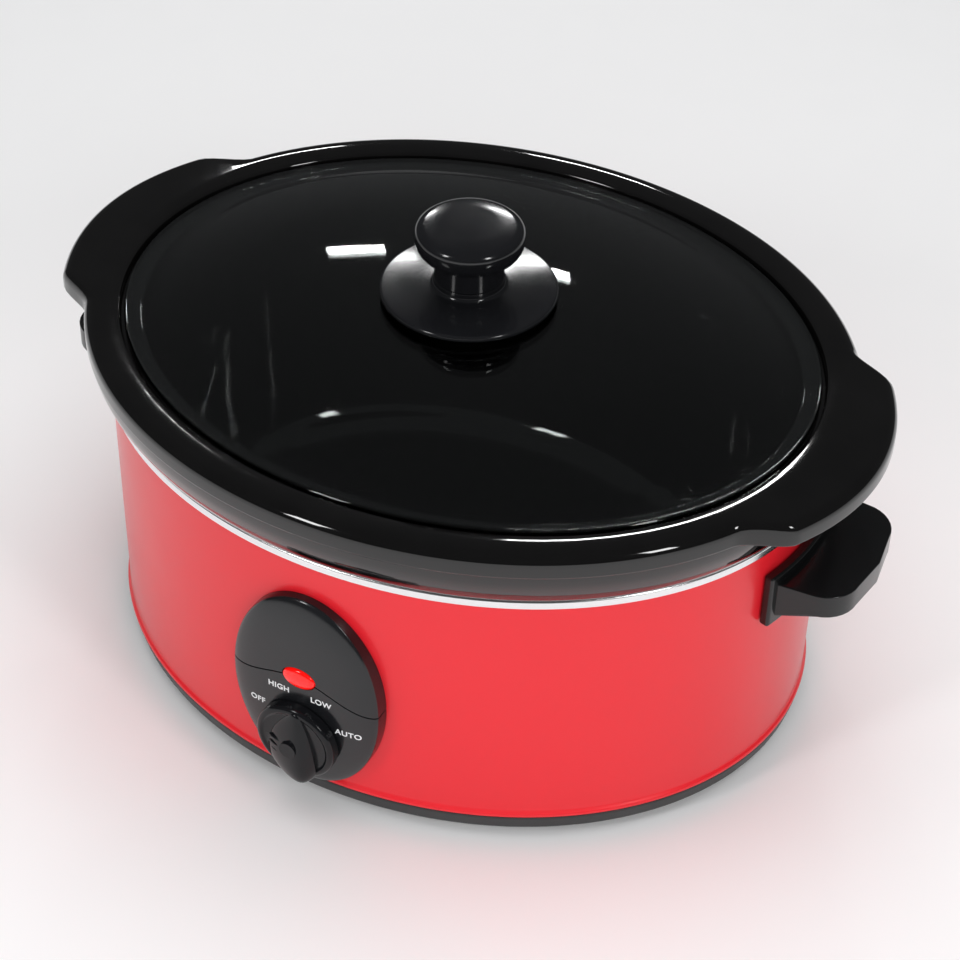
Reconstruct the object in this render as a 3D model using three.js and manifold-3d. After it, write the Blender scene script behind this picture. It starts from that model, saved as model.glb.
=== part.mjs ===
// Oval slow cooker: painted casing, stoneware crock, glass lid and rotary control.
// Millimetres, +Z up, front (control panel) towards -Y, origin at the middle of the
// base tray's flat underside.
import * as THREE from "three";
import { mergeVertices } from "three/addons/utils/BufferGeometryUtils.js";
import Module from "manifold-3d";

const wasm = await Module();
wasm.setup();

// ---- Driving sizes ---------------------------------------------------------------
// Every oval is given by its half-width on Y; its half-length on X is this much more.
const OVAL_STRETCH = 24.2;
const OVAL_SEGMENTS = 48;
const BLEND_RADIUS = 60; // inside this half-width the stretch fades towards the middle
const CLEARANCE = 0.3; // between pieces that touch
const HOLE_CLEARANCE = 0.4; // around a screw, shaft or stem

const CASE_HALF_WIDTH = 113.6;
const CASE_SHEET = 0.8;
const CASE_HEIGHT = 104.4;
const CASE_BEAD = 1.1;
const CASE_BEAD_HEIGHT = 2.4;

const TRAY_RING_HEIGHT = 8.2;
const TRAY_WALL = 2.6;
const TRAY_FLOOR = 2.2;
const TRAY_UPSTAND = 5.5;
const TRAY_INSET = 0.6;

const LINER_SHEET = 0.8;
const LINER_GAP = 2.2; // air gap between the crock's body and the liner
const LINER_FLOOR_Z = 15.8;
const RIM_THICKNESS = 1.1;
const RIM_CURL = 3.4;
const RIM_WALL = 1.3;

const CROCK_TOP_INSET = 12.5; // inside the casing, just under the flange
const CROCK_FOOT_INSET = 25;
const CROCK_WALL = 6;
const CROCK_FLOOR = 5.4;
const CROCK_FLOOR_GAP = 2.4; // above the liner's floor
const FLANGE_OVERHANG = 7.9; // past the casing
const FLANGE_HEIGHT = 24.2;
const FLANGE_TAPER = 7.2;
const RECESS_DEPTH = 4.6;
const WING_REACH = 14; // how far each end wing stands out past the flange
const WING_HALF_SPAN = 44;
const WING_THICKNESS = 9;

const LID_MARGIN = 14.7; // inside the flange's edge
const LID_RECESS_CLEARANCE = 1.6;
const LID_THICKNESS = 3.4;
const LID_DOME = 14.9;
const LID_SEAT_WIDTH = 7;

const KNOB_RADIUS = 20;
const KNOB_DISC = 12.2;
const KNOB_NECK_RADIUS = 12.6;
const KNOB_NECK_HEIGHT = 9.2;
const SKIRT_RADIUS = 32.2;
const SKIRT_HEIGHT = 7.2;
const LID_SCREW_RADIUS = 2.4;

const PANEL_HALF_WIDTH = 29.6;
const PANEL_HALF_HEIGHT = 43.4;
const PANEL_STAND = 1.4; // above the casing's bottom edge
const PANEL_RISE = 7.2;
const PANEL_SHELL = 2.2;
const PARTING_GAP = 0.35;
const PARTING_RISE = 9.8; // middle of the parting line, above the panel's centre
const PARTING_TILT = 0.06; // lower towards the right
const PARTING_DROP = 7;
const LENS_HALF_WIDTH = 6.5;
const LENS_HALF_HEIGHT = 4.3;
const LENS_RISE = 9.8; // above the panel's centre

const DIAL_DROP = 17.8; // below the panel's centre
const DIAL_RADIUS = 15.8;
const DIAL_BASE = 4.6;
const DIAL_GRIP = 6;
const SHAFT_RADIUS = 3;
const BUSH_RADIUS = 4.6;
const NUT_ACROSS_FLATS = 13;

const HANDLE_HALF_SPAN = 31;
const HANDLE_REACH = 27; // past the casing's end
const HANDLE_FLANGE_DROP = 13.3; // below the casing's top edge
const HANDLE_PLATE_DROP = 17.3;
const HANDLE_TIP_THICKNESS = 9.6;
const HANDLE_ROOT_THICKNESS = 16;
const HANDLE_FLANGE_THICKNESS = 4;
const HANDLE_FLANGE_HEIGHT = 22.5;
const HANDLE_SCREW_PITCH = 44;

const FOOT_RADIUS = 8;
const FOOT_DROP = 3;
const FOOT_INSET = 15.85; // inside the casing's oval
const FOOT_ANGLE = 0.64;

const SCREW_RADIUS = 1.6;
const SCREW_HEAD_RADIUS = 3.4;
const SCREW_HEAD_HEIGHT = 1.9;
const GLAND_Z = 26;
const GLAND_BORE_RADIUS = 3.6;
const LEAD_RADIUS = 1.2;

// ---- Heights and radii that follow from them -------------------------------------
const caseBottomZ = TRAY_RING_HEIGHT + CLEARANCE;
const caseTopZ = caseBottomZ + CASE_HEIGHT;
const rimBottomZ = caseTopZ + CLEARANCE;
const rimTopZ = rimBottomZ + RIM_THICKNESS;
const flangeBottomZ = rimTopZ + CLEARANCE;
const flangeTopZ = flangeBottomZ + FLANGE_HEIGHT;
const flangeHalfWidth = CASE_HALF_WIDTH + FLANGE_OVERHANG;
const lidHalfWidth = flangeHalfWidth - LID_MARGIN;
const recessHalfWidth = lidHalfWidth + LID_RECESS_CLEARANCE;
const recessFloorZ = flangeTopZ - RECESS_DEPTH;
const lidSeatZ = recessFloorZ + CLEARANCE;
const lidTopZ = lidSeatZ + LID_THICKNESS + LID_DOME;
const skirtSeatZ = lidTopZ + CLEARANCE;
const knobSeatZ = skirtSeatZ + SKIRT_HEIGHT + CLEARANCE;
const caseInnerHalfWidth = CASE_HALF_WIDTH - CASE_SHEET;
const crockFootHalfWidth = CASE_HALF_WIDTH - CROCK_FOOT_INSET;
const crockFootZ = LINER_FLOOR_Z + LINER_SHEET + CROCK_FLOOR_GAP;
const crockSlope = (CROCK_FOOT_INSET - CROCK_TOP_INSET) / (flangeBottomZ - crockFootZ);
const handleFlangeTopZ = caseTopZ - HANDLE_FLANGE_DROP;
const handlePlateTopZ = caseTopZ - HANDLE_PLATE_DROP;
const panelCentreZ = caseBottomZ + PANEL_STAND + PANEL_HALF_HEIGHT;
const dialCentreZ = panelCentreZ - DIAL_DROP;
const lensCentreZ = panelCentreZ + LENS_RISE;
const panelFaceY = -(CASE_HALF_WIDTH + CLEARANCE + PANEL_RISE);

// Half-width of the crock's outer wall at a height.
function crockHalfWidth(z) {
  return crockFootHalfWidth + crockSlope * (z - crockFootZ);
}

// Half-width of the liner's outer wall at a height.
function linerOuter(z) {
  return crockHalfWidth(z) + LINER_GAP + LINER_SHEET;
}

// ---- Colours ---------------------------------------------------------------------
function material(color, roughness, metalness, extra = {}) {
  return new THREE.MeshStandardMaterial({ color, roughness, metalness, ...extra });
}
const RED_PAINT = material(0xe3202e, 0.22, 0.1);
const STEEL = material(0xc8cace, 0.3, 1.0);
const ZINC = material(0xb4b6b4, 0.4, 1.0);
const STONEWARE = material(0x0b0a09, 0.08, 0.0);
const BLACK_PLASTIC = material(0x17181a, 0.28, 0.0);
const TRAY_PLASTIC = material(0x26272a, 0.5, 0.0);
const RUBBER = material(0x1c1c1c, 0.85, 0.0);
const GLASS = material(0xdfe8e6, 0.03, 0.0, { transparent: true, opacity: 0.3 });
const RED_LENS = material(0xf01010, 0.15, 0.0);
const LAMP_GLASS = material(0xe9c7a0, 0.1, 0.0);
const MICA = material(0x8d8f8c, 0.55, 0.6);
const WHITE_PLASTIC = material(0xe6e2d8, 0.45, 0.0);
const LEAD_RED = material(0x9d1b1b, 0.5, 0.0);
const LEAD_BLUE = material(0x1d3f8f, 0.5, 0.0);

// ---- Solid helpers ---------------------------------------------------------------
function closed(geometry) {
  const g = geometry.clone();
  g.deleteAttribute("normal");
  g.deleteAttribute("uv");
  return mergeVertices(g, 1e-4);
}

function toSolid(geometry) {
  const g = closed(geometry);
  const mesh = new wasm.Mesh({
    numProp: 3,
    vertProperties: new Float32Array(g.attributes.position.array),
    triVerts: new Uint32Array(g.index.array),
  });
  return new wasm.Manifold(mesh);
}

function toGeometry(solid) {
  const mesh = solid.getMesh();
  const g = new THREE.BufferGeometry();
  g.setAttribute("position", new THREE.BufferAttribute(mesh.vertProperties, 3));
  g.setIndex(new THREE.BufferAttribute(mesh.triVerts, 1));
  return g;
}

// A shape turned about Z: the profile is [radius, z], closed or from axis to axis.
function turned(profile, segments) {
  const points = profile.map(([r, z]) => new THREE.Vector2(Math.max(r, 0), z));
  const g = new THREE.LatheGeometry(points, segments);
  g.rotateX(Math.PI / 2);
  return closed(g);
}

// Counter-clockwise closed profile (seen with r to the right, z up) gives outward faces.
function ringOf(profile, segments) {
  return turned([...profile, profile[0]], segments);
}

// Stretches a turned shape along X into the cooker's oval.
function stretch(geometry) {
  const p = geometry.attributes.position;
  for (let i = 0; i < p.count; i += 1) {
    const r = Math.hypot(p.getX(i), p.getY(i));
    const grown = r > BLEND_RADIUS ? r + OVAL_STRETCH
      : r * (BLEND_RADIUS + OVAL_STRETCH) / BLEND_RADIUS;
    if (r > 0) p.setX(i, p.getX(i) * grown / r);
  }
  return geometry;
}

function oval(profile) {
  return stretch(turned(profile, OVAL_SEGMENTS));
}

function ovalRing(profile) {
  return stretch(ringOf(profile, OVAL_SEGMENTS));
}

function ovalPlug(halfWidth, z0, z1) {
  return toSolid(oval([[0, z0], [halfWidth, z0], [halfWidth, z1], [0, z1]]));
}

// A cylinder along Y from y0 to y1.
function barY(radius, y0, y1, x, z, segments = 16) {
  const g = new THREE.CylinderGeometry(radius, radius, Math.abs(y1 - y0), segments);
  g.translate(x, (y0 + y1) / 2, z);
  return toSolid(g);
}

// A cylinder along Z from z0 to z1.
function barZ(radius, z0, z1, x, y, segments = 16) {
  const g = new THREE.CylinderGeometry(radius, radius, Math.abs(z1 - z0), segments);
  g.rotateX(Math.PI / 2);
  g.translate(x, y, (z0 + z1) / 2);
  return toSolid(g);
}

function box(x0, x1, y0, y1, z0, z1) {
  const g = new THREE.BoxGeometry(x1 - x0, y1 - y0, z1 - z0);
  g.translate((x0 + x1) / 2, (y0 + y1) / 2, (z0 + z1) / 2);
  return toSolid(g);
}

function extruded(shape, depth, options = {}) {
  return new THREE.ExtrudeGeometry(shape, {
    depth, bevelEnabled: false, curveSegments: 12, ...options,
  });
}

const cooker = new THREE.Group();

function addPiece(name, shape, mat, place = {}) {
  const geometry = shape instanceof THREE.BufferGeometry ? closed(shape) : toGeometry(shape);
  const mesh = new THREE.Mesh(geometry, mat);
  mesh.name = name;
  if (place.position) mesh.position.set(...place.position);
  if (place.rotation) mesh.rotation.set(...place.rotation);
  cooker.add(mesh);
  return mesh;
}

// A pan-head screw: head below, shank up +Z, the head's seat at z = 0.
function screwGeometry(shankLength, radius = SCREW_RADIUS, headRadius = SCREW_HEAD_RADIUS) {
  const h = SCREW_HEAD_HEIGHT;
  return turned([
    [0, -h], [headRadius * 0.7, -h], [headRadius, -h * 0.45], [headRadius, 0],
    [radius, 0], [radius, shankLength - radius * 0.6], [radius * 0.4, shankLength],
    [0, shankLength],
  ], 10);
}

// ---- Base tray, feet and what holds the tray -------------------------------------
const footPlaces = [];
const footHalfWidth = CASE_HALF_WIDTH - FOOT_INSET;
for (const sx of [-1, 1]) {
  for (const sy of [-1, 1]) {
    footPlaces.push([
      sx * (footHalfWidth + OVAL_STRETCH) * Math.cos(FOOT_ANGLE),
      sy * footHalfWidth * Math.sin(FOOT_ANGLE),
    ]);
  }
}
const FOOT_STEM_RADIUS = 3;
const BRACKET_REACH = 78; // from the middle to each tray screw
const bracketFootZ = TRAY_FLOOR + 3.6;

function buildBaseTray() {
  const ringOuter = CASE_HALF_WIDTH + CASE_BEAD - 0.2;
  const foot = CASE_HALF_WIDTH - TRAY_INSET;
  const inner = caseInnerHalfWidth - CLEARANCE - TRAY_WALL;
  let tray = toSolid(oval([
    [0, 0], [foot - 2, 0], [foot, 1.6], [ringOuter, TRAY_RING_HEIGHT - 0.8],
    [ringOuter, TRAY_RING_HEIGHT], [caseInnerHalfWidth - CLEARANCE, TRAY_RING_HEIGHT],
    [caseInnerHalfWidth - CLEARANCE, TRAY_RING_HEIGHT + TRAY_UPSTAND],
    [inner, TRAY_RING_HEIGHT + TRAY_UPSTAND], [inner, TRAY_FLOOR], [0, TRAY_FLOOR],
  ]));
  for (const sx of [-1, 1]) {
    tray = tray.add(barZ(5.5, 0.5, bracketFootZ - CLEARANCE, sx * BRACKET_REACH, 0));
    tray = tray.subtract(
      barZ(SCREW_RADIUS + HOLE_CLEARANCE, -1, bracketFootZ + 1, sx * BRACKET_REACH, 0),
    );
    tray = tray.subtract(
      barZ(SCREW_HEAD_RADIUS + HOLE_CLEARANCE, -1, screwSeatZ + CLEARANCE, sx * BRACKET_REACH, 0),
    );
  }
  for (const [x, y] of footPlaces) {
    tray = tray.subtract(barZ(FOOT_STEM_RADIUS + HOLE_CLEARANCE, -1, TRAY_FLOOR + 1, x, y));
  }
  for (let i = -3; i <= 3; i += 1) {
    if (i !== 0) tray = tray.subtract(box(i * 16 - 2, i * 16 + 2, -34, -6, -1, TRAY_FLOOR + 1));
  }
  addPiece("base_tray", tray, TRAY_PLASTIC);
}
const screwSeatZ = SCREW_HEAD_HEIGHT + 0.7;

function buildCrossBracket() {
  const t = 1.2;
  const top = LINER_FLOOR_Z - CLEARANCE;
  const low = bracketFootZ;
  const reach = BRACKET_REACH;
  const strip = new THREE.Shape([
    [-reach - 8, low], [-reach + 14, low], [-reach + 26, top - t], [reach - 26, top - t],
    [reach - 14, low], [reach + 8, low], [reach + 8, low + t], [reach - 14 - t, low + t],
    [reach - 26 - t, top], [-reach + 26 + t, top], [-reach + 14 + t, low + t],
    [-reach - 8, low + t],
  ].map(([x, z]) => new THREE.Vector2(x, z)));
  const g = extruded(strip, 16);
  g.rotateX(Math.PI / 2);
  g.translate(0, 8, 0);
  let bracket = toSolid(g);
  for (const sx of [-1, 1]) {
    bracket = bracket.subtract(
      barZ(SCREW_RADIUS + CLEARANCE, low - 1, low + t + 1, sx * reach, 0),
    );
    const side = sx < 0 ? "left" : "right";
    addPiece(`base_screw_${side}`, screwGeometry(low + t + 2 - screwSeatZ), ZINC, {
      position: [sx * reach, 0, screwSeatZ],
    });
  }
  addPiece("cross_bracket", bracket, ZINC);
}

function buildFeet() {
  footPlaces.forEach(([x, y], i) => {
    const foot = turned([
      [0, -FOOT_DROP], [FOOT_RADIUS - 1, -FOOT_DROP], [FOOT_RADIUS, -FOOT_DROP + 0.9],
      [FOOT_RADIUS, -CLEARANCE], [FOOT_STEM_RADIUS, -CLEARANCE],
      [FOOT_STEM_RADIUS, TRAY_FLOOR + 1], [FOOT_STEM_RADIUS - 1, TRAY_FLOOR + 1.8],
      [0, TRAY_FLOOR + 1.8],
    ], 14);
    addPiece(`rubber_foot_${i + 1}`, foot, RUBBER, { position: [x, y, 0] });
  });
}

// ---- Casing and liner ------------------------------------------------------------
const handleScrewPlaces = [];
for (const sx of [-1, 1]) {
  for (const sy of [-1, 1]) handleScrewPlaces.push([sx, sy * HANDLE_SCREW_PITCH / 2]);
}
const handleScrewZ = handleFlangeTopZ - HANDLE_FLANGE_HEIGHT / 2 - 1;
const panelScrewHeights = [
  panelCentreZ + PANEL_HALF_HEIGHT - 11, panelCentreZ - PANEL_HALF_HEIGHT + 9,
];
const glandNeckRadius = GLAND_BORE_RADIUS + 3;

// A cylinder along X from x0 to x1.
function barX(radius, x0, x1, y, z, segments = 16) {
  const g = new THREE.CylinderGeometry(radius, radius, Math.abs(x1 - x0), segments);
  g.rotateZ(Math.PI / 2);
  g.translate((x0 + x1) / 2, y, z);
  return toSolid(g);
}

// Half-length on X of an oval at a distance y from the middle.
function ovalX(halfWidth, y) {
  return (halfWidth + OVAL_STRETCH) * Math.sqrt(1 - (y / halfWidth) ** 2);
}

function buildCasing() {
  const outer = CASE_HALF_WIDTH;
  const inner = caseInnerHalfWidth;
  let casing = toSolid(ovalRing([
    [inner, caseBottomZ], [outer + CASE_BEAD, caseBottomZ],
    [outer + CASE_BEAD, caseBottomZ + CASE_BEAD_HEIGHT / 2],
    [outer, caseBottomZ + CASE_BEAD_HEIGHT],
    [outer, caseTopZ], [inner, caseTopZ],
  ]));
  const front = -outer - 5;
  const behind = -inner + 6;
  casing = casing.subtract(
    barY(BUSH_RADIUS + HOLE_CLEARANCE, front, behind, 0, dialCentreZ, 20),
  );
  casing = casing.subtract(
    barY(LAMP_RADIUS + 1, front, behind, 0, lensCentreZ, 18),
  );
  for (const z of panelScrewHeights) {
    casing = casing.subtract(barY(SCREW_RADIUS + HOLE_CLEARANCE, front, behind, 0, z));
  }
  for (const [sx, y] of handleScrewPlaces) {
    const x = sx * ovalX(outer, y);
    casing = casing.subtract(
      barX(SCREW_RADIUS + HOLE_CLEARANCE, x - 6, x + 6, y, handleScrewZ),
    );
  }
  casing = casing.subtract(
    barY(glandNeckRadius + CLEARANCE, inner - 6, outer + 5, 0, GLAND_Z, 20),
  );
  addPiece("outer_casing", casing, RED_PAINT);
}

function buildLiner() {
  const s = LINER_SHEET;
  const floor = LINER_FLOOR_Z;
  const innerAt = (z) => crockHalfWidth(z) + LINER_GAP;
  const curlInner = CASE_HALF_WIDTH + CLEARANCE;
  const curlOuter = curlInner + RIM_WALL;
  const liner = oval([
    [0, floor], [linerOuter(floor) - 7, floor], [linerOuter(floor + 5) - 0.6, floor + 3],
    [linerOuter(floor + 8), floor + 8], [linerOuter(rimBottomZ - 4), rimBottomZ - 4],
    [linerOuter(rimBottomZ) + 1.2, rimBottomZ], [curlInner, rimBottomZ],
    [curlInner, rimTopZ - RIM_CURL], [curlOuter, rimTopZ - RIM_CURL],
    [curlOuter, rimTopZ - 0.6], [curlOuter - 0.6, rimTopZ],
    [innerAt(rimTopZ) + 1.6, rimTopZ], [innerAt(rimTopZ - 4), rimTopZ - 4],
    [innerAt(floor + 8), floor + 8], [innerAt(floor + 5) - 0.9, floor + 3.4],
    [linerOuter(floor) - 7.4, floor + s], [0, floor + s],
  ]);
  addPiece("inner_liner", liner, STEEL);
}

// ---- Heating band, its clamps, thermal fuse and wiring ---------------------------
const BAND_LOW_Z = 26;
const BAND_HIGH_Z = 62;
const BAND_THICKNESS = 1.6;
const BAND_SLOT = 16;

function buildHeatingBand() {
  const gap = CLEARANCE;
  const low = linerOuter(BAND_LOW_Z) + gap;
  const high = linerOuter(BAND_HIGH_Z) + gap;
  let band = toSolid(ovalRing([
    [low, BAND_LOW_Z], [low + BAND_THICKNESS, BAND_LOW_Z],
    [high + BAND_THICKNESS, BAND_HIGH_Z], [high, BAND_HIGH_Z],
  ]));
  const half = BAND_SLOT / 2;
  band = band.subtract(box(-half, half, low - 12, high + 12, BAND_LOW_Z - 1, BAND_HIGH_Z + 1));
  const lugInner = low + 0.6;
  const lugOuter = high + BAND_THICKNESS + 4;
  for (const sx of [-1, 1]) {
    const x0 = sx < 0 ? -half - 1.4 : half;
    const lug = box(x0, x0 + 1.4, lugInner, lugOuter, BAND_LOW_Z + 3, BAND_HIGH_Z - 3)
      .subtract(ovalPlug(linerOuter(BAND_HIGH_Z) + gap, BAND_HIGH_Z - 6, BAND_HIGH_Z + 1))
      .subtract(linerKeepOut());
    band = band.add(lug);
  }
  addPiece("heating_band", band, MICA);

  const springY = high + BAND_THICKNESS + 2;
  const turns = 5;
  const length = BAND_SLOT - 2 * CLEARANCE;
  [BAND_LOW_Z + 10, BAND_HIGH_Z - 10].forEach((z, i) => {
    const profile = [[0, -length / 2], [1.3, -length / 2]];
    for (let k = 0; k < turns; k += 1) {
      const step = (length - 2) / turns;
      const a = -length / 2 + 1 + k * step;
      profile.push([1.3, a], [1.9, a + step * 0.5]);
    }
    profile.push([1.3, length / 2 - 1], [1.3, length / 2], [0, length / 2]);
    const g = turned(profile, 8);
    g.rotateY(Math.PI / 2);
    addPiece(i === 0 ? "band_spring_lower" : "band_spring_upper", g, STEEL, {
      position: [0, springY, z],
    });
  });
}

// The space taken by the liner's wall and the gap around it, over the band's height.
function linerKeepOut() {
  const z0 = BAND_LOW_Z - 2;
  const z1 = BAND_HIGH_Z + 2;
  return toSolid(oval([
    [0, z0], [linerOuter(z0) + CLEARANCE, z0], [linerOuter(z1) + CLEARANCE, z1], [0, z1],
  ]));
}

const FUSE_X = -30;
const FUSE_Y = 30;
const FUSE_RADIUS = 2.2;
const fuseZ = LINER_FLOOR_Z - CLEARANCE - 0.8 - CLEARANCE - FUSE_RADIUS;

function buildThermalFuse() {
  const body = turned([
    [0, -9], [0.9, -9], [0.9, -7], [FUSE_RADIUS, -6.4], [FUSE_RADIUS, 6.4], [0.9, 7],
    [0.9, 9], [0, 9],
  ], 14);
  body.rotateX(Math.PI / 2);
  addPiece("thermal_fuse", body, STEEL, { position: [FUSE_X, FUSE_Y, fuseZ] });

  const hold = FUSE_RADIUS + CLEARANCE;
  const top = LINER_FLOOR_Z - CLEARANCE - fuseZ;
  const strap = new THREE.Shape([
    [-13, top], [-13, top - 0.8], [-hold - 0.8, top - 0.8], [-hold - 0.8, -hold - 0.8],
    [hold + 0.8, -hold - 0.8], [hold + 0.8, top - 0.8], [13, top - 0.8], [13, top],
    [hold, top], [hold, -hold], [-hold, -hold], [-hold, top],
  ].map(([x, z]) => new THREE.Vector2(x, z)));
  const g = extruded(strap, 8);
  g.rotateX(Math.PI / 2);
  addPiece("fuse_bracket", g, ZINC, { position: [FUSE_X, FUSE_Y + 4, fuseZ] });
}

const BLOCK_X = 24;
const BLOCK_Y = CASE_HALF_WIDTH - 37;

function buildTerminalBlock() {
  const floor = TRAY_FLOOR + CLEARANCE;
  let block = box(-15, 15, -6, 6, floor, floor + 4).add(box(-15, 15, -3.4, 3.4, floor, floor + 8));
  for (const x of [-10, 0, 10]) {
    block = block.subtract(barZ(2, floor + 5, floor + 10, x, 0, 12));
    block = block.subtract(barY(1.6, -7, 7, x, floor + 2.6, 12));
  }
  addPiece("terminal_block", block, WHITE_PLASTIC, { position: [BLOCK_X, BLOCK_Y, 0] });
}

function buildLead(name, mat, points) {
  const path = new THREE.CatmullRomCurve3(points.map((p) => new THREE.Vector3(...p)));
  const section = new THREE.Shape();
  section.absarc(0, 0, LEAD_RADIUS, 0, 2 * Math.PI);
  const g = new THREE.ExtrudeGeometry(section, {
    steps: 20, curveSegments: 3, bevelEnabled: false, extrudePath: path,
  });
  addPiece(name, g, mat);
}

function buildWiring() {
  const floor = TRAY_FLOOR + CLEARANCE;
  const run = floor + LEAD_RADIUS + 1;
  const blockFront = BLOCK_Y - 6 - CLEARANCE;
  const terminal = floor + 2.6;
  const lugX = BAND_SLOT / 2 + 1.4 + CLEARANCE;
  const behindBand = linerOuter(BAND_HIGH_Z) + BAND_THICKNESS + 6;
  const switchUnder = dialCentreZ - SWITCH_HALF_SIZE - CLEARANCE - 0.2;
  const switchY = -(caseInnerHalfWidth - CLEARANCE - SWITCH_DEPTH / 2) + 2.2;
  buildLead("lead_live", LEAD_RED, [
    [BLOCK_X - 10, blockFront, terminal], [BLOCK_X - 10, BLOCK_Y - 24, run],
    [12, BLOCK_Y - 56, run], [8, switchY + 55.4, run], [6, switchY + 12, run], [6, switchY, run + 8],
    [6, switchY, switchUnder],
  ]);
  buildLead("lead_neutral", LEAD_BLUE, [
    [BLOCK_X + 10, BLOCK_Y + 6 + CLEARANCE, terminal],
    [BLOCK_X + 10, BLOCK_Y + 14, terminal + 1], [BLOCK_X + 4, behindBand - 4, run + 9],
    [lugX + 6, behindBand - 2.4, BAND_LOW_Z + 5], [lugX + 3, behindBand - 3, BAND_LOW_Z + 6],
    [lugX, behindBand - 3, BAND_LOW_Z + 6],
  ]);
  buildLead("lead_fuse_in", LEAD_RED, [
    [-6, switchY, switchUnder], [-6, switchY, run + 8], [-8, switchY + 12, run],
    [-26, switchY + 45.4, run], [-34, switchY + 85.4, run], [FUSE_X, FUSE_Y - 19, run + 1.4],
    [FUSE_X, FUSE_Y - 13, fuseZ], [FUSE_X, FUSE_Y - 9 - CLEARANCE, fuseZ],
  ]);
  buildLead("lead_fuse_out", LEAD_RED, [
    [FUSE_X, FUSE_Y + 9 + CLEARANCE, fuseZ], [FUSE_X, FUSE_Y + 13, fuseZ],
    [FUSE_X, FUSE_Y + 20, run + 1.4], [-28, BLOCK_Y - 2, run], [-25, BLOCK_Y + 16, run + 2],
    [-lugX - 12, behindBand - 3, run + 12], [-lugX - 4, behindBand - 3, BAND_LOW_Z + 6],
    [-lugX, behindBand - 3, BAND_LOW_Z + 6],
  ]);
}

// ---- Control panel ---------------------------------------------------------------
const SWITCH_HALF_SIZE = 10.5;
const SWITCH_DEPTH = 8.6;
const LAMP_RADIUS = 2.6;
const NUT_THICKNESS = 2.2;
const PANEL_BOSS_RADIUS = 4;

// The panel's outer skin: an ellipse seen from the front, gently domed.
function panelDome(inset, lower) {
  const w = PANEL_HALF_WIDTH - inset;
  const tall = (PANEL_HALF_HEIGHT - inset) / w;
  const rise = PANEL_RISE - lower;
  const g = turned([
    [0, -14], [w, -14], [w, rise * 0.5], [w * 0.985, rise * 0.63], [w * 0.94, rise * 0.78],
    [w * 0.86, rise * 0.885], [w * 0.72, rise * 0.955], [w * 0.42, rise * 0.99], [0, rise],
  ], 32);
  g.scale(1, tall, 1);
  g.rotateX(Math.PI / 2);
  g.translate(0, -(CASE_HALF_WIDTH + CLEARANCE), panelCentreZ);
  return toSolid(g);
}

// Height of the line between the panel's halves at a place across it.
function partingZ(x) {
  const t = Math.min(Math.abs(x) / PANEL_HALF_WIDTH, 1);
  return panelCentreZ + PARTING_RISE - PARTING_DROP * (0.5 - 0.5 * Math.cos(Math.PI * t))
    - PARTING_TILT * x;
}

// Everything above (side = 1) or below (side = -1) the parting line.
function partingBlock(side) {
  const reach = PANEL_HALF_WIDTH + 6;
  const points = [];
  for (let i = 0; i <= 20; i += 1) {
    const x = -reach + 2 * reach * i / 20;
    points.push(new THREE.Vector2(x, partingZ(x) + side * PARTING_GAP / 2));
  }
  const far = panelCentreZ + side * (PANEL_HALF_HEIGHT + 10);
  points.push(new THREE.Vector2(reach, far), new THREE.Vector2(-reach, far));
  const g = extruded(new THREE.Shape(points), 40);
  g.rotateX(Math.PI / 2);
  g.translate(0, panelFaceY + 30, 0);
  return toSolid(g);
}

function ellipseY(halfWidth, halfHeight, y0, y1, z, segments = 28) {
  const g = new THREE.CylinderGeometry(1, 1, Math.abs(y1 - y0), segments);
  g.scale(halfWidth, 1, halfHeight);
  g.translate(0, (y0 + y1) / 2, z);
  return toSolid(g);
}

function buildPanel() {
  const wallY = -(CASE_HALF_WIDTH + CLEARANCE);
  const frontY = panelFaceY - 3;
  let bosses = barY(DIAL_RADIUS * 0.55, frontY, wallY + 12, 0, dialCentreZ, 20)
    .subtract(barY(NUT_ACROSS_FLATS / 2 + 1.6, frontY + 3 + PANEL_SHELL, wallY + 14, 0,
      dialCentreZ, 20));
  for (const z of panelScrewHeights) {
    bosses = bosses.add(barY(PANEL_BOSS_RADIUS, frontY, wallY + 12, 0, z, 16));
  }
  const shell = panelDome(0, 0)
    .subtract(panelDome(PANEL_SHELL, PANEL_SHELL).subtract(bosses))
    .subtract(ovalPlug(CASE_HALF_WIDTH + CLEARANCE, -2, caseTopZ + 20))
    .subtract(ovalPlug(CASE_HALF_WIDTH + CASE_BEAD + CLEARANCE, -2,
      caseBottomZ + CASE_BEAD_HEIGHT + CLEARANCE));
  let panel = shell
    .subtract(ellipseY(LENS_HALF_WIDTH + CLEARANCE, LENS_HALF_HEIGHT + CLEARANCE,
      frontY, wallY + 8, lensCentreZ))
    .subtract(barY(SHAFT_RADIUS + HOLE_CLEARANCE, frontY, wallY + 8, 0, dialCentreZ, 20));
  for (const z of panelScrewHeights) {
    panel = panel.subtract(
      barY(SCREW_RADIUS + CLEARANCE, panelFaceY + PANEL_SHELL, wallY + 8, 0, z),
    );
  }
  addPiece("bezel_upper", panel.intersect(partingBlock(1)), BLACK_PLASTIC);
  addPiece("bezel_lower", panel.intersect(partingBlock(-1)), BLACK_PLASTIC);

  const seatY = -(caseInnerHalfWidth - CLEARANCE - 0.15);
  const length = seatY - (panelFaceY + PANEL_SHELL) - 0.5;
  panelScrewHeights.forEach((z, i) => {
    addPiece(i === 0 ? "bezel_screw_upper" : "bezel_screw_lower", screwGeometry(length), ZINC, {
      position: [0, seatY, z], rotation: [Math.PI / 2, 0, 0],
    });
  });
}

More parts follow.
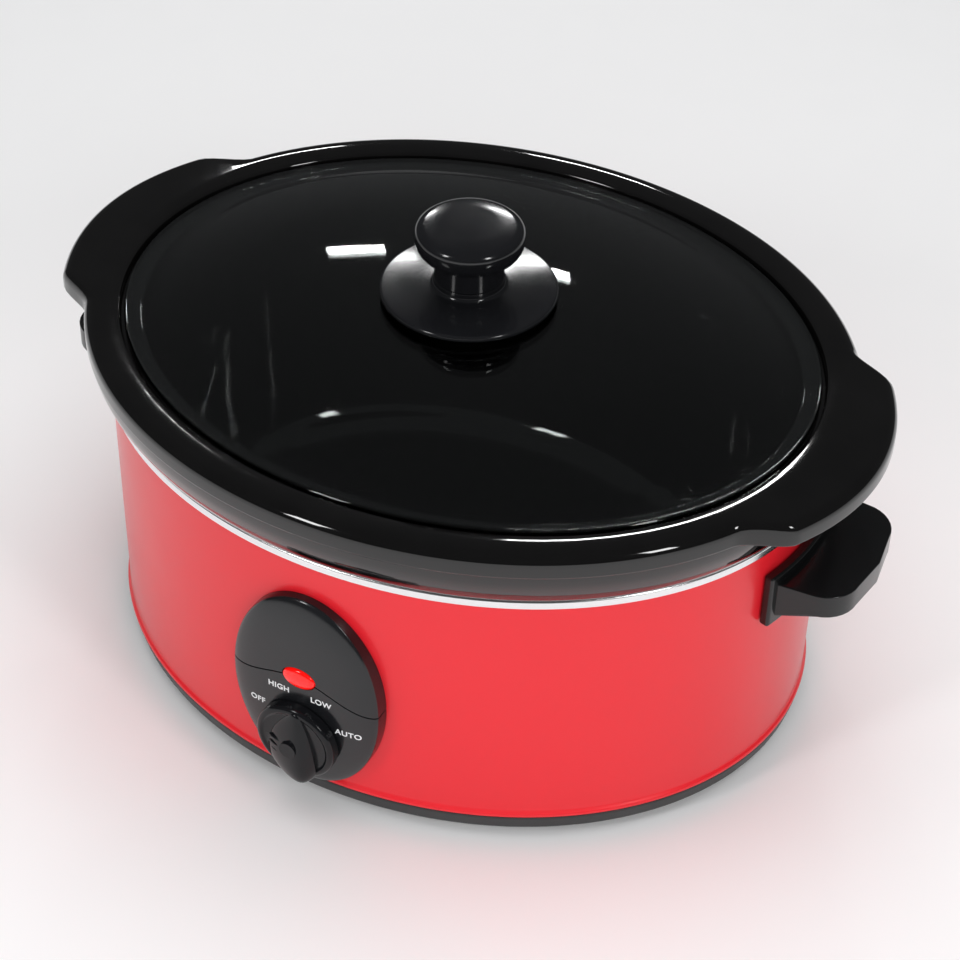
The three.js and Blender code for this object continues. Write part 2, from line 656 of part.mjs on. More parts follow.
function buildIndicator() {
  const lensY = panelFaceY + 0.4;
  const g = turned([
    [0, -2.4], [1, -2.4], [1, 0.3], [0.9, 0.8], [0.66, 1.3], [0.34, 1.6], [0, 1.7],
  ], 24);
  g.scale(LENS_HALF_WIDTH, LENS_HALF_HEIGHT, 1);
  g.rotateX(Math.PI / 2);
  addPiece("indicator_lens", g, RED_LENS, { position: [0, lensY, lensCentreZ] });

  const lampFront = lensY + 2.4 + CLEARANCE;
  const lampBack = -(linerOuter(lensCentreZ) + BAND_THICKNESS + 2.5);
  const length = lampBack - lampFront;
  const lamp = turned([
    [0, 0], [LAMP_RADIUS * 0.75, 0], [LAMP_RADIUS, 0.25 * length],
    [LAMP_RADIUS, length - 3], [0.9, length - 2.6], [0.9, length], [0, length],
  ], 14);
  lamp.rotateX(-Math.PI / 2);
  addPiece("indicator_lamp", lamp, LAMP_GLASS, {
    position: [0, lampFront, lensCentreZ],
  });
}

function buildSwitch() {
  const frontY = -(caseInnerHalfWidth - CLEARANCE - 0.2);
  const backY = frontY + SWITCH_DEPTH;
  const h = SWITCH_HALF_SIZE;
  const z = dialCentreZ;
  const bushFrontY = -(CASE_HALF_WIDTH + CLEARANCE + NUT_THICKNESS + 0.8);
  const body = box(-h, h, frontY, backY, z - h, z + h)
    .add(barY(BUSH_RADIUS, bushFrontY, frontY + 1, 0, z, 20))
    .subtract(barY(SHAFT_RADIUS + 0.35, bushFrontY - 1, backY - 2, 0, z, 20));
  addPiece("rotary_switch", body.subtract(ovalKeepOutFront()), WHITE_PLASTIC);

  const nutY = -(CASE_HALF_WIDTH + CLEARANCE);
  const hexagon = new THREE.CylinderGeometry(
    NUT_ACROSS_FLATS / Math.sqrt(3), NUT_ACROSS_FLATS / Math.sqrt(3), NUT_THICKNESS, 6,
  );
  const nut = toSolid(hexagon)
    .subtract(barY(BUSH_RADIUS + CLEARANCE, -NUT_THICKNESS, NUT_THICKNESS, 0, 0, 20));
  addPiece("switch_nut", nut, ZINC, { position: [0, nutY - NUT_THICKNESS / 2, z] });
}

// Ring outside the casing's inner face, so the switch's flat front clears its curve.
function ovalKeepOutFront() {
  const inner = caseInnerHalfWidth - CLEARANCE;
  return toSolid(ovalRing([
    [inner, 0], [inner + 0.75, 0], [inner + 0.75, caseTopZ], [inner, caseTopZ],
  ])).subtract(barY(BUSH_RADIUS + 0.1, -caseInnerHalfWidth - 6, -80, 0, dialCentreZ, 20));
}

// ---- Dial ------------------------------------------------------------------------
function buildDial() {
  const seatY = panelFaceY - CLEARANCE - 0.2;
  const shaftBackY = -(caseInnerHalfWidth - CLEARANCE - 0.2) + SWITCH_DEPTH - 2 - CLEARANCE;
  const boreDepth = 9;
  const base = turned([
    [0, 0], [DIAL_RADIUS, 0], [DIAL_RADIUS, DIAL_BASE - 1.4], [DIAL_RADIUS - 1.6, DIAL_BASE],
    [0, DIAL_BASE],
  ], 32);
  const reach = DIAL_RADIUS;
  const top = DIAL_BASE + DIAL_GRIP;
  const grip = new THREE.Shape();
  grip.moveTo(0.6, reach - 3.6);
  grip.bezierCurveTo(4, reach - 9, 8, 1, 9.4, -8);
  grip.bezierCurveTo(9.8, -12, 8.2, -reach + 0.5, 4.4, -reach + 0.4);
  grip.bezierCurveTo(-1, -reach, -8, -reach + 0.8, -9.4, -9);
  grip.bezierCurveTo(-8, 0, -4, reach - 10, 0.6, reach - 3.6);
  const blade = extruded(grip, top - 2.2, {
    curveSegments: 7, bevelEnabled: true, bevelThickness: 1, bevelSize: 1,
    bevelOffset: -1, bevelSegments: 2,
  });
  blade.translate(0, 0, 1.2);
  // The grip's face falls towards the pointer end, and its left flank is a long slope.
  const face = new THREE.BoxGeometry(50, 60, 20);
  face.translate(0, 0, 10);
  face.rotateX(-0.3);
  face.translate(0, -6, top - 0.6);
  const flank = new THREE.BoxGeometry(30, 60, 20);
  flank.translate(-15, 0, 10);
  flank.rotateY(-0.66);
  flank.translate(0.8, 0, top - 0.6);
  let knob = toSolid(base)
    .add(toSolid(blade).subtract(toSolid(face)).subtract(toSolid(flank)));
  // Finger ribs down the left side of the grip.
  for (let i = 0; i < 4; i += 1) {
    const groove = new THREE.CylinderGeometry(0.7, 0.7, 7, 8);
    groove.rotateZ(Math.PI / 2);
    groove.rotateY(-0.66);
    groove.translate(-4.6, -1 - i * 3.4, top - 4.4);
    knob = knob.subtract(toSolid(groove));
  }
  const bore = new THREE.CylinderGeometry(SHAFT_RADIUS + CLEARANCE, SHAFT_RADIUS + CLEARANCE,
    boreDepth * 2, 20);
  bore.rotateX(Math.PI / 2);
  knob = knob.subtract(toSolid(bore));
  const stand = { position: [0, seatY, dialCentreZ], rotation: [Math.PI / 2, 0, 0] };
  addPiece("dial_knob", knob, BLACK_PLASTIC, stand);

  const tipY = seatY - boreDepth + CLEARANCE;
  const flat = box(-4, 4, tipY - 1, tipY + 7, SHAFT_RADIUS * 0.55, SHAFT_RADIUS + 2);
  const shaft = barY(SHAFT_RADIUS, tipY, shaftBackY, 0, 0, 20).subtract(flat);
  addPiece("switch_shaft", shaft, STEEL, { position: [0, 0, dialCentreZ] });
}

// ---- Side handles ----------------------------------------------------------------
function buildHandles() {
  const endX = CASE_HALF_WIDTH + OVAL_STRETCH;
  const tipX = endX + HANDLE_REACH;
  const rootX = endX - 22;
  const span = HANDLE_HALF_SPAN;
  const outline = new THREE.Shape();
  outline.moveTo(rootX, -span + 2);
  outline.lineTo(endX + 6, -span + 3);
  outline.bezierCurveTo(tipX - 4, -span + 4, tipX - 3, -span + 10, tipX - 1.4, -14);
  outline.bezierCurveTo(tipX, -6, tipX, 6, tipX - 1.4, 14);
  outline.bezierCurveTo(tipX - 3, span - 10, tipX - 4, span - 4, endX + 6, span - 3);
  outline.lineTo(rootX, span - 2);
  const top = handlePlateTopZ;
  const plateGeometry = extruded(outline, HANDLE_ROOT_THICKNESS - 4, {
    curveSegments: 6, bevelEnabled: true, bevelThickness: 2, bevelSize: 2, bevelOffset: -2,
    bevelSegments: 2,
  });
  plateGeometry.translate(0, 0, top - HANDLE_ROOT_THICKNESS + 2);
  const underside = new THREE.Shape();
  underside.moveTo(endX + 3, top - HANDLE_ROOT_THICKNESS - 5);
  underside.lineTo(endX + 3, top - HANDLE_ROOT_THICKNESS - 1);
  underside.quadraticCurveTo(endX + 7, top - HANDLE_TIP_THICKNESS - 1.2, endX + 15,
    top - HANDLE_TIP_THICKNESS - 0.4);
  underside.lineTo(tipX + 5, top - HANDLE_TIP_THICKNESS + 0.6);
  underside.lineTo(tipX + 5, top - HANDLE_ROOT_THICKNESS - 5);
  const under = extruded(underside, 2 * span + 10, { curveSegments: 5 });
  under.rotateX(Math.PI / 2);
  under.translate(0, span + 5, 0);
  const flangeLow = handleFlangeTopZ - HANDLE_FLANGE_HEIGHT;
  const flangeBand = ovalPlug(CASE_HALF_WIDTH + CLEARANCE + HANDLE_FLANGE_THICKNESS,
    flangeLow, handleFlangeTopZ)
    .intersect(box(rootX - 8, tipX, -span, span, flangeLow - 1, handleFlangeTopZ + 1));
  const wall = ovalPlug(CASE_HALF_WIDTH + CLEARANCE, 0, caseTopZ + 20);
  let right = toSolid(plateGeometry).subtract(toSolid(under)).add(flangeBand).subtract(wall);
  for (const sy of [-1, 1]) {
    const y = sy * HANDLE_SCREW_PITCH / 2;
    const x = ovalX(CASE_HALF_WIDTH, y);
    right = right.subtract(
      barX(SCREW_RADIUS + CLEARANCE, x - 6, x + HANDLE_SCREW_BITE + 1, y, handleScrewZ),
    );
  }
  addPiece("side_handle_right", right, BLACK_PLASTIC);
  addPiece("side_handle_left", right.mirror([1, 0, 0]), BLACK_PLASTIC);

  // How far the flats of the casing's faceted wall lie inside its true oval.
  const facetSag = (caseInnerHalfWidth + OVAL_STRETCH) * (1 - Math.cos(Math.PI / OVAL_SEGMENTS));
  handleScrewPlaces.forEach(([sx, y]) => {
    const x = ovalX(caseInnerHalfWidth, y);
    const lean = SCREW_HEAD_RADIUS * Math.abs(y) * (caseInnerHalfWidth + OVAL_STRETCH) ** 2
      / (caseInnerHalfWidth ** 2 * x);
    const seat = x - lean - facetSag - 0.006;
    const length = ovalX(CASE_HALF_WIDTH, y) + HANDLE_SCREW_BITE - seat;
    const name = `handle_screw_${sx < 0 ? "left" : "right"}_${y < 0 ? "front" : "rear"}`;
    addPiece(name, screwGeometry(length), ZINC, {
      position: [sx * seat, y, handleScrewZ], rotation: [0, sx * Math.PI / 2, 0],
    });
  });
}
const HANDLE_SCREW_BITE = 9;

// ---- Cord gland ------------------------------------------------------------------
function buildGland() {
  const outer = CASE_HALF_WIDTH + CLEARANCE;
  const inner = caseInnerHalfWidth - CLEARANCE - 0.3;
  const bore = GLAND_BORE_RADIUS;
  const neck = glandNeckRadius;
  const g = ringOf([
    [bore, inner - 2.4], [neck + 2, inner - 2.4], [neck + 2, inner], [neck, inner],
    [neck, outer], [neck + 3, outer], [neck + 3, outer + 1.8], [neck - 0.6, outer + 2.4],
    [bore + 1.6, outer + 9], [bore, outer + 9],
  ], 20);
  g.rotateX(-Math.PI / 2);
  addPiece("cord_gland", g, RUBBER, { position: [0, 0, GLAND_Z] });
}

// ---- Stoneware crock -------------------------------------------------------------
// One end wing, a flat ledge that runs out of the flange.
function wingSolid() {
  const endX = flangeHalfWidth + OVAL_STRETCH;
  const tipX = endX + WING_REACH;
  const s = WING_HALF_SPAN;
  const root = flangeHalfWidth - 9.6;
  const rootAngle = 0.54;
  const shoulder = ovalX(flangeHalfWidth, s + 12);
  const outline = new THREE.Shape();
  outline.moveTo((root + OVAL_STRETCH) * Math.cos(rootAngle), -root * Math.sin(rootAngle));
  outline.lineTo(shoulder - 2, -s - 12);
  outline.bezierCurveTo(shoulder + 5, -s - 7, tipX - 13, -s - 4, tipX - 11.6, -s + 1);
  outline.bezierCurveTo(tipX - 6, -s + 9, tipX, -s + 28, tipX, 0);
  outline.bezierCurveTo(tipX, s - 28, tipX - 6, s - 9, tipX - 11.6, s - 1);
  outline.bezierCurveTo(tipX - 13, s + 4, shoulder + 5, s + 7, shoulder - 2, s + 12);
  outline.lineTo((root + OVAL_STRETCH) * Math.cos(rootAngle), root * Math.sin(rootAngle));
  outline.absellipse(0, 0, root + OVAL_STRETCH, root, rootAngle, -rootAngle, true);
  const g = extruded(outline, WING_THICKNESS - 4, {
    curveSegments: 7, bevelEnabled: true, bevelThickness: 2, bevelSize: 2, bevelOffset: -2,
    bevelSegments: 2,
  });
  g.translate(0, 0, flangeTopZ - 0.1 - WING_THICKNESS + 2);
  return toSolid(g);
}

function buildCrock() {
  const foot = crockFootZ;
  const base = crockFootHalfWidth;
  const band = flangeHalfWidth - FLANGE_TAPER;
  const low = flangeBottomZ;
  const top = flangeTopZ;
  const outerAt = (t) => band + (flangeHalfWidth - band) * Math.sin(t * Math.PI / 2);
  const innerAt = (z) => crockHalfWidth(z) - CROCK_WALL;
  const bowlFloor = foot + CROCK_FLOOR;
  const body = toSolid(oval([
    [0, foot + 1.4], [base - 13, foot + 1.4], [base - 11, foot], [base - 4, foot],
    [base - 0.8, foot + 1.6], [crockHalfWidth(foot + 7), foot + 7],
    [crockHalfWidth(low), low], [band - 1.2, low], [outerAt(0.06), low + 1],
    [outerAt(0.32), low + FLANGE_HEIGHT * 0.3], [outerAt(0.62), low + FLANGE_HEIGHT * 0.58],
    [outerAt(0.9), low + FLANGE_HEIGHT * 0.82], [outerAt(1), top - 1.7],
    [flangeHalfWidth - 0.6, top - 0.5], [flangeHalfWidth - 2, top],
    [recessHalfWidth + 1.2, top - 0.3], [recessHalfWidth, top - 1.3],
    [recessHalfWidth, recessFloorZ + 0.5], [recessHalfWidth - 0.5, recessFloorZ],
    [recessHalfWidth - 8.6, recessFloorZ], [recessHalfWidth - 10.4, recessFloorZ - 1.4],
    [innerAt(low) + 0.4, low], [innerAt(bowlFloor + 12), bowlFloor + 12],
    [innerAt(bowlFloor + 5) - 2.4, bowlFloor + 4], [innerAt(bowlFloor) - 8, bowlFloor + 0.9],
    [innerAt(bowlFloor) - 16, bowlFloor], [0, bowlFloor - 0.4],
  ]));
  const wing = wingSolid();
  addPiece("stoneware_crock", body.add(wing).add(wing.mirror([1, 0, 0])), STONEWARE);
}

// ---- Lid -------------------------------------------------------------------------
function lidTop(r) {
  const shoulder = lidHalfWidth - LID_SEAT_WIDTH;
  const t = Math.min(r / shoulder, 1);
  return lidSeatZ + LID_THICKNESS + LID_DOME * (1 - t ** 2.3);
}

function buildLid() {
  const R = lidHalfWidth;
  const shoulder = R - LID_SEAT_WIDTH;
  const seat = lidSeatZ;
  const t = LID_THICKNESS;
  const steps = [0.96, 0.86, 0.72, 0.54, 0.34, 0.16, 0];
  const up = steps.map((k) => [shoulder * k, lidTop(shoulder * k)]);
  const down = [...steps].reverse().map((k) => [shoulder * k, lidTop(shoulder * k) - t]);
  const glass = toSolid(oval([
    ...down, [shoulder, seat], [R - 1.4, seat], [R - 0.2, seat + 0.9],
    [R, seat + t / 2], [R - 0.2, seat + t - 0.9], [R - 1.4, seat + t],
    [shoulder, seat + t], ...up,
  ])).subtract(barZ(LID_SCREW_RADIUS + 1.4, lidTopZ - t - 6, lidTopZ + 3, 0, 0, 18));
  addPiece("lid_glass", glass, GLASS);
}

function buildLidKnob() {
  const z = skirtSeatZ;
  const edge = 2.2;
  const bore = LID_SCREW_RADIUS + HOLE_CLEARANCE;
  const skirt = ringOf([
    [bore, z], [11, z], [13, z + 0.9], [SKIRT_RADIUS - 1.2, z + 0.9],
    [SKIRT_RADIUS, z + 0.9 + edge * 0.4], [SKIRT_RADIUS - 0.7, z + 0.9 + edge],
    [22, z + 3.8], [KNOB_NECK_RADIUS + 1.6, z + 4.8], [KNOB_NECK_RADIUS, z + 6],
    [KNOB_NECK_RADIUS, z + SKIRT_HEIGHT], [bore, z + SKIRT_HEIGHT],
  ], 30);
  addPiece("knob_skirt", skirt, BLACK_PLASTIC);

  const k = knobSeatZ;
  const disc = k + KNOB_NECK_HEIGHT;
  const knobTop = disc + KNOB_DISC;
  const blind = k + KNOB_NECK_HEIGHT + 4;
  const top = turned([
    [0, blind], [bore, blind], [bore, k], [KNOB_NECK_RADIUS, k],
    [KNOB_NECK_RADIUS - 0.5, disc - 3], [KNOB_NECK_RADIUS + 1.2, disc - 0.8],
    [KNOB_RADIUS - 2.2, disc + 0.8], [KNOB_RADIUS - 0.4, disc + 2.4], [KNOB_RADIUS, disc + 4.4],
    [KNOB_RADIUS, knobTop - 3], [KNOB_RADIUS - 0.8, knobTop - 1.2],
    [KNOB_RADIUS - 2.6, knobTop - 0.2], [KNOB_RADIUS - 6, knobTop], [0, knobTop],
  ], 30);
  addPiece("knob_top", top, BLACK_PLASTIC);

  const washerTop = lidTopZ - LID_THICKNESS - CLEARANCE;
  const washerBottom = washerTop - 1.4;
  addPiece("knob_washer", ringOf([
    [bore, washerBottom], [9, washerBottom], [9, washerTop], [bore, washerTop],
  ], 24), RUBBER);
  const headSeat = washerBottom - CLEARANCE;
  addPiece("knob_screw", screwGeometry(blind - 1 - headSeat, LID_SCREW_RADIUS, 5), STEEL, {
    position: [0, 0, headSeat],
  });
}

buildBaseTray();
buildCrossBracket();
buildFeet();
buildCasing();
buildLiner();
buildHeatingBand();
buildThermalFuse();
buildTerminalBlock();
buildWiring();
buildPanel();
buildIndicator();
buildSwitch();
buildDial();
buildHandles();
buildGland();
buildCrock();
buildLid();
buildLidKnob();

export default cooker;
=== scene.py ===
import math

import bmesh
import bpy
from mathutils import Matrix, Vector


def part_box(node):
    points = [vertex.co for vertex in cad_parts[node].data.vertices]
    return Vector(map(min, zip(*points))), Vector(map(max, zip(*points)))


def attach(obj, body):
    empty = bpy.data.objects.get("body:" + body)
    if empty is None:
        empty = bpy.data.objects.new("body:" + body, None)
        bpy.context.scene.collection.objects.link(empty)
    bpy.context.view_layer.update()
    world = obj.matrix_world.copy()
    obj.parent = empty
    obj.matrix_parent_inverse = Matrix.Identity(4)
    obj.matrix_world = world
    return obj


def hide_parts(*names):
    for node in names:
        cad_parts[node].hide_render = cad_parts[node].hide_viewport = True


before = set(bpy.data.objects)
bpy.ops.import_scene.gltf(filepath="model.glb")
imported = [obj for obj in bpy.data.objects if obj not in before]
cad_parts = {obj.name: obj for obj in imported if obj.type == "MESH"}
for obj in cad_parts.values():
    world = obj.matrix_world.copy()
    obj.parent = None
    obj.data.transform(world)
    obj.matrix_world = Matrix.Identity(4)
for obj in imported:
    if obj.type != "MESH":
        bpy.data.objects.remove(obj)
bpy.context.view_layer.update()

# ---- Camera ----------------------------------------------------------------------
# A long lens a little under a metre away, above the front right of the cooker.
AIM = Vector((0.0121, -0.0110, 0.078))
CAMERA_DISTANCE = 0.8955
CAMERA_AZIMUTH = math.radians(27.3)
CAMERA_ELEVATION = math.radians(40.0)
CAMERA_ROLL = math.radians(1.49)
LENS_LENGTH = 90
SENSOR_WIDTH = 36
NEAREST_SEEN = 0.02

camera_data = bpy.data.cameras.new("camera")
camera_data.lens = LENS_LENGTH
camera_data.sensor_width = SENSOR_WIDTH
camera_data.clip_start = NEAREST_SEEN
camera = bpy.data.objects.new("camera", camera_data)
bpy.context.scene.collection.objects.link(camera)
camera.matrix_world = (
    Matrix.Translation(AIM)
    @ Matrix.Rotation(CAMERA_AZIMUTH, 4, "Z")
    @ Matrix.Rotation(math.pi / 2 - CAMERA_ELEVATION, 4, "X")
    @ Matrix.Rotation(CAMERA_ROLL, 4, "Z")
    @ Matrix.Translation((0, 0, CAMERA_DISTANCE))
)
bpy.context.scene.camera = camera

# ---- Studio ----------------------------------------------------------------------
# A pale seamless floor under a soft white tent that the gloss doesn't mirror, with two small
# softboxes behind and two in front, which give glaze and plastic their paired highlights.
ROOM_WHITE = (0.95, 0.97, 1.0, 1)
ROOM_STRENGTH = 0.07
bpy.context.scene.view_settings.view_transform = "Standard"
world = bpy.data.worlds.new("studio")
world.use_nodes = True
room_light = world.node_tree.nodes["Background"]
room_light.inputs["Color"].default_value = ROOM_WHITE
room_light.inputs["Strength"].default_value = ROOM_STRENGTH
bpy.context.scene.world = world


def softbox(name, place, aim, width, height, power, mirrored=True):
    """A flat lamp at a place, facing its aim; the gloss and glass show it if it is mirrored."""
    light = bpy.data.lights.new(name, "AREA")
    light.shape = "RECTANGLE"
    light.size = width
    light.size_y = height
    light.energy = power
    lamp = bpy.data.objects.new(name, light)
    bpy.context.scene.collection.objects.link(lamp)
    lamp.location = place
    lamp.rotation_euler = (Vector(aim) - Vector(place)).to_track_quat("-Z", "Y").to_euler()
    lamp.visible_glossy = mirrored
    lamp.visible_transmission = mirrored


softbox("softbox_back_left", (-0.544, 0.728, 0.651), (0, 0, 0.12), 0.085, 0.03, 0.3)
softbox("softbox_back_right", (-0.335, 0.834, 0.653), (0, 0, 0.12), 0.10, 0.035, 0.4)
softbox("softbox_front_left", (-0.41, -0.96, 0.75), (0, 0, 0.05), 0.16, 0.30, 2.4)
softbox("softbox_front_right", (0.95, -0.43, 0.75), (0, 0, 0.05), 0.16, 0.30, 2.4)
softbox("tent_top", (0.0, 0.3, 2.2), (0, 0, 0), 2.6, 2.6, 42, mirrored=False)
softbox("tent_front", (0.75, -1.5, 1.0), (0, 0, 0.05), 1.6, 1.2, 15, mirrored=False)

# ---- Base tray -------------------------------------------------------------------
# The black polypropylene pan that closes the casing from below: a moulded ring that shows as a
# dark band, a flat floor with vents, and two recessed screws that pull it to the inner bracket.
MM = 0.001
OVAL_BLEND_RADIUS = 60
TRAY_FLOOR = 2.2
TRAY_WALL = 2.6
TRAY_BEVEL = 1.6
TRAY_UPSTAND = 5.5
VENT_COLUMNS = (-3, -2, -1, 1, 2, 3)
VENT_PITCH = 16
VENT_ROW = 20
VENT_HALF_WIDTH = 2
VENT_HALF_LENGTH = 14
SCREW_WELL_RADIUS = 3.8
FOOT_HOLE_RADIUS = 3.4
TRAY_CUT_LOW = -2
TRAY_CUT_HIGH = 4
TRAY_SCREWS = ("base_screw_left", "base_screw_right")
BOSS_BORE = 2.1
BOSS_RADIUS = 5.5
BOSS_LOW = 2.9
BOSS_HIGH = 5.5
RING_TOLERANCE = 0.01
NOISE_LOW = 0.3
NOISE_HIGH = 0.7
CASE_SHEET = 0.8
CASE_BEAD = 1.1
CLEARANCE = 0.3


def box_mm(node):
    """Lowest and highest corner of a CAD node, in mm."""
    low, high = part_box(node)
    return low / MM, high / MM


def centre_mm(node):
    low, high = box_mm(node)
    return (low + high) / 2


case_low, case_high = box_mm("outer_casing")
case_half_width = case_high.y - CASE_BEAD
oval_stretch = case_high.x - case_high.y
case_inner = case_half_width - CASE_SHEET


def turned(outline, steps=192):
    """Spins an outline of (radius, height, rounding) points in mm about the upright axis."""
    shape = bmesh.new()
    points = [shape.verts.new((p[0], 0, p[1])) for p in outline]
    for start, end in zip(points, points[1:]):
        shape.edges.new((start, end))
    if outline[0][0] > 0:
        shape.edges.new((points[-1], points[0]))
    bmesh.ops.spin(
        shape, geom=shape.verts[:] + shape.edges[:], axis=(0, 0, 1), cent=(0, 0, 0),
        angle=2 * math.pi, steps=steps, use_merge=True,
    )
    bmesh.ops.remove_doubles(shape, verts=shape.verts, dist=1e-4)
    bmesh.ops.recalc_face_normals(shape, faces=shape.faces)
    for corner in outline:
        if len(corner) == 3:
            round_ring(shape, *corner)
    return shape


def round_ring(shape, radius, height, rounding):
    """Rounds the edge ring that runs at one radius and height."""
    def on_ring(vert):
        away = math.hypot(math.hypot(vert.co.x, vert.co.y) - radius, vert.co.z - height)
        return away < RING_TOLERANCE
    ring = [e for e in shape.edges if on_ring(e.verts[0]) and on_ring(e.verts[1])]
    bmesh.ops.bevel(
        shape, geom=ring, offset=rounding, offset_type="OFFSET", affect="EDGES", segments=4,
        profile=0.5, material=-1, clamp_overlap=True,
    )


def stretch_to_oval(shape):
    """Lengthens a round shape along X into the cooker's oval."""
    for vert in shape.verts:
        radius = max(math.hypot(vert.co.x, vert.co.y), 1e-9)
        reach = max(radius, OVAL_BLEND_RADIUS)
        vert.co.x *= (reach + oval_stretch) / reach
    return shape


def make_object(name, shape):
    """Turns a shape in mm into an object in metres."""
    bmesh.ops.scale(shape, vec=(MM, MM, MM), verts=shape.verts)
    mesh = bpy.data.meshes.new(name)
    shape.to_mesh(mesh)
    shape.free()
    piece = bpy.data.objects.new(name, mesh)
    bpy.context.scene.collection.objects.link(piece)
    return piece


def apply_modifiers(piece):
    """Makes the piece's mesh what its modifiers give."""
    bpy.context.view_layer.update()
    shown = piece.evaluated_get(bpy.context.evaluated_depsgraph_get())
    mesh = bpy.data.meshes.new_from_object(shown)
    piece.modifiers.clear()
    piece.data = mesh


def cut_out(piece, cutter_shape, operation="DIFFERENCE"):
    """Cuts (or joins) a shape in mm from a piece."""
    cutter = make_object("cutter", cutter_shape)
    cut = piece.modifiers.new("cut", "BOOLEAN")
    cut.operation = operation
    cut.solver = "EXACT"
    cut.object = cutter
    apply_modifiers(piece)
    bpy.data.objects.remove(cutter)


def finish_piece(piece, material, body, nodes, sharp_angle=35):
    """Smooths the shading, gives the finish, and stands the piece in for its CAD nodes."""
    mesh = piece.data
    mesh.shade_smooth()
    mesh.set_sharp_from_angle(angle=math.radians(sharp_angle))
    mesh.materials.clear()
    mesh.materials.append(material)
    shading = piece.modifiers.new("even_shading", "WEIGHTED_NORMAL")
    shading.keep_sharp = True
    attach(piece, body)
    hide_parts(*nodes)


def add_bar(shape, radius, start, end, sides=32):
    """Adds a round bar between two places to a shape, in mm."""
    along = Vector(end) - Vector(start)
    turn = along.to_track_quat("Z", "Y").to_matrix().to_4x4()
    middle = (Vector(start) + Vector(end)) / 2
    bmesh.ops.create_cone(
        shape, cap_ends=True, cap_tris=False, segments=sides, radius1=radius, radius2=radius,
        depth=along.length, matrix=Matrix.Translation(middle) @ turn,
    )


def add_block(shape, low, high):
    """Adds a block between two corners to a shape, in mm."""
    size = Vector(high) - Vector(low)
    middle = (Vector(low) + Vector(high)) / 2
    bmesh.ops.create_cube(
        shape, size=1, matrix=Matrix.Translation(middle) @ Matrix.Diagonal((*size, 1)),
    )


def make_finish(
    name, colour, roughness, drift=0.12, drift_scale=25, patchiness=0.05, patch_scale=45,
    grain=0.1, grain_depth=0.00004, grain_scale=900, stretch=(1, 1, 1), **sockets,
):
    """A finish whose colour drifts, whose gloss is patchy, and whose grain stands in relief."""
    finish = bpy.data.materials.new(name)
    finish.use_nodes = True
    nodes = finish.node_tree.nodes
    links = finish.node_tree.links
    shader = nodes["Principled BSDF"]
    for socket, value in sockets.items():
        shader.inputs[socket.replace("_", " ")].default_value = value
    place = nodes.new("ShaderNodeTexCoord")
    spread = nodes.new("ShaderNodeMapping")
    spread.inputs["Scale"].default_value = stretch
    links.new(place.outputs["Object"], spread.inputs["Vector"])

    def noise(scale, detail):
        node = nodes.new("ShaderNodeTexNoise")
        node.inputs["Scale"].default_value = scale
        node.inputs["Detail"].default_value = detail
        links.new(spread.outputs["Vector"], node.inputs["Vector"])
        return node.outputs["Fac"]

    tone = nodes.new("ShaderNodeMix")
    tone.data_type = "RGBA"
    tone.inputs["A"].default_value = (*(c * (1 - drift) for c in colour), 1)
    tone.inputs["B"].default_value = (*(min(c * (1 + drift), 1) for c in colour), 1)
    links.new(noise(drift_scale, 3), tone.inputs["Factor"])
    links.new(tone.outputs["Result"], shader.inputs["Base Color"])
    gloss = nodes.new("ShaderNodeMapRange")
    gloss.inputs["From Min"].default_value = NOISE_LOW
    gloss.inputs["From Max"].default_value = NOISE_HIGH
    gloss.inputs["To Min"].default_value = max(roughness - patchiness, 0.0)
    gloss.inputs["To Max"].default_value = roughness + patchiness
    links.new(noise(patch_scale, 5), gloss.inputs["Value"])
    links.new(gloss.outputs["Result"], shader.inputs["Roughness"])
    relief = nodes.new("ShaderNodeBump")
    relief.inputs["Strength"].default_value = grain
    relief.inputs["Distance"].default_value = grain_depth
    links.new(noise(grain_scale, 2), relief.inputs["Height"])
    links.new(relief.outputs["Normal"], shader.inputs["Normal"])
    return finish


def drill_tray_floor(shape, node, radius):
    """Adds to a shape a bar through the tray's floor, under the middle of a CAD node."""
    centre = centre_mm(node)
    add_bar(
        shape, radius, (centre.x, centre.y, TRAY_CUT_LOW), (centre.x, centre.y, TRAY_CUT_HIGH),
    )


tray_plastic = make_finish(
    "matt_tray_plastic", (0.020, 0.020, 0.021), 0.45, drift=0.15, grain=0.35,
    grain_depth=0.0001, grain_scale=1600,
)
tray_low, tray_high = box_mm("base_tray")
ring_outer = tray_high.y
ring_height = case_low.z - CLEARANCE
tray_inner = case_inner - CLEARANCE
tray_shape = stretch_to_oval(turned([
    (0, 0), (ring_outer - 3.5, 0, 1.2), (ring_outer - 1.5, TRAY_BEVEL, 1.0),
    (ring_outer, ring_height - 0.8, 0.5), (ring_outer, ring_height), (tray_inner, ring_height),
    (tray_inner, ring_height + TRAY_UPSTAND), (tray_inner - TRAY_WALL, ring_height + TRAY_UPSTAND),
    (tray_inner - TRAY_WALL, TRAY_FLOOR, 1.2), (0, TRAY_FLOOR),
]))
base_tray = make_object("base_tray_shell", tray_shape)
tray_cuts = bmesh.new()
for column in VENT_COLUMNS:
    for row in (-VENT_ROW, VENT_ROW):
        x = column * VENT_PITCH
        add_block(
            tray_cuts, (x - VENT_HALF_WIDTH, row - VENT_HALF_LENGTH, TRAY_CUT_LOW),
            (x + VENT_HALF_WIDTH, row + VENT_HALF_LENGTH, TRAY_CUT_HIGH),
        )
for screw in TRAY_SCREWS:
    drill_tray_floor(tray_cuts, screw, SCREW_WELL_RADIUS)
for number in range(1, 5):
    drill_tray_floor(tray_cuts, f"rubber_foot_{number}", FOOT_HOLE_RADIUS)
cut_out(base_tray, tray_cuts)
boss_shape = bmesh.new()
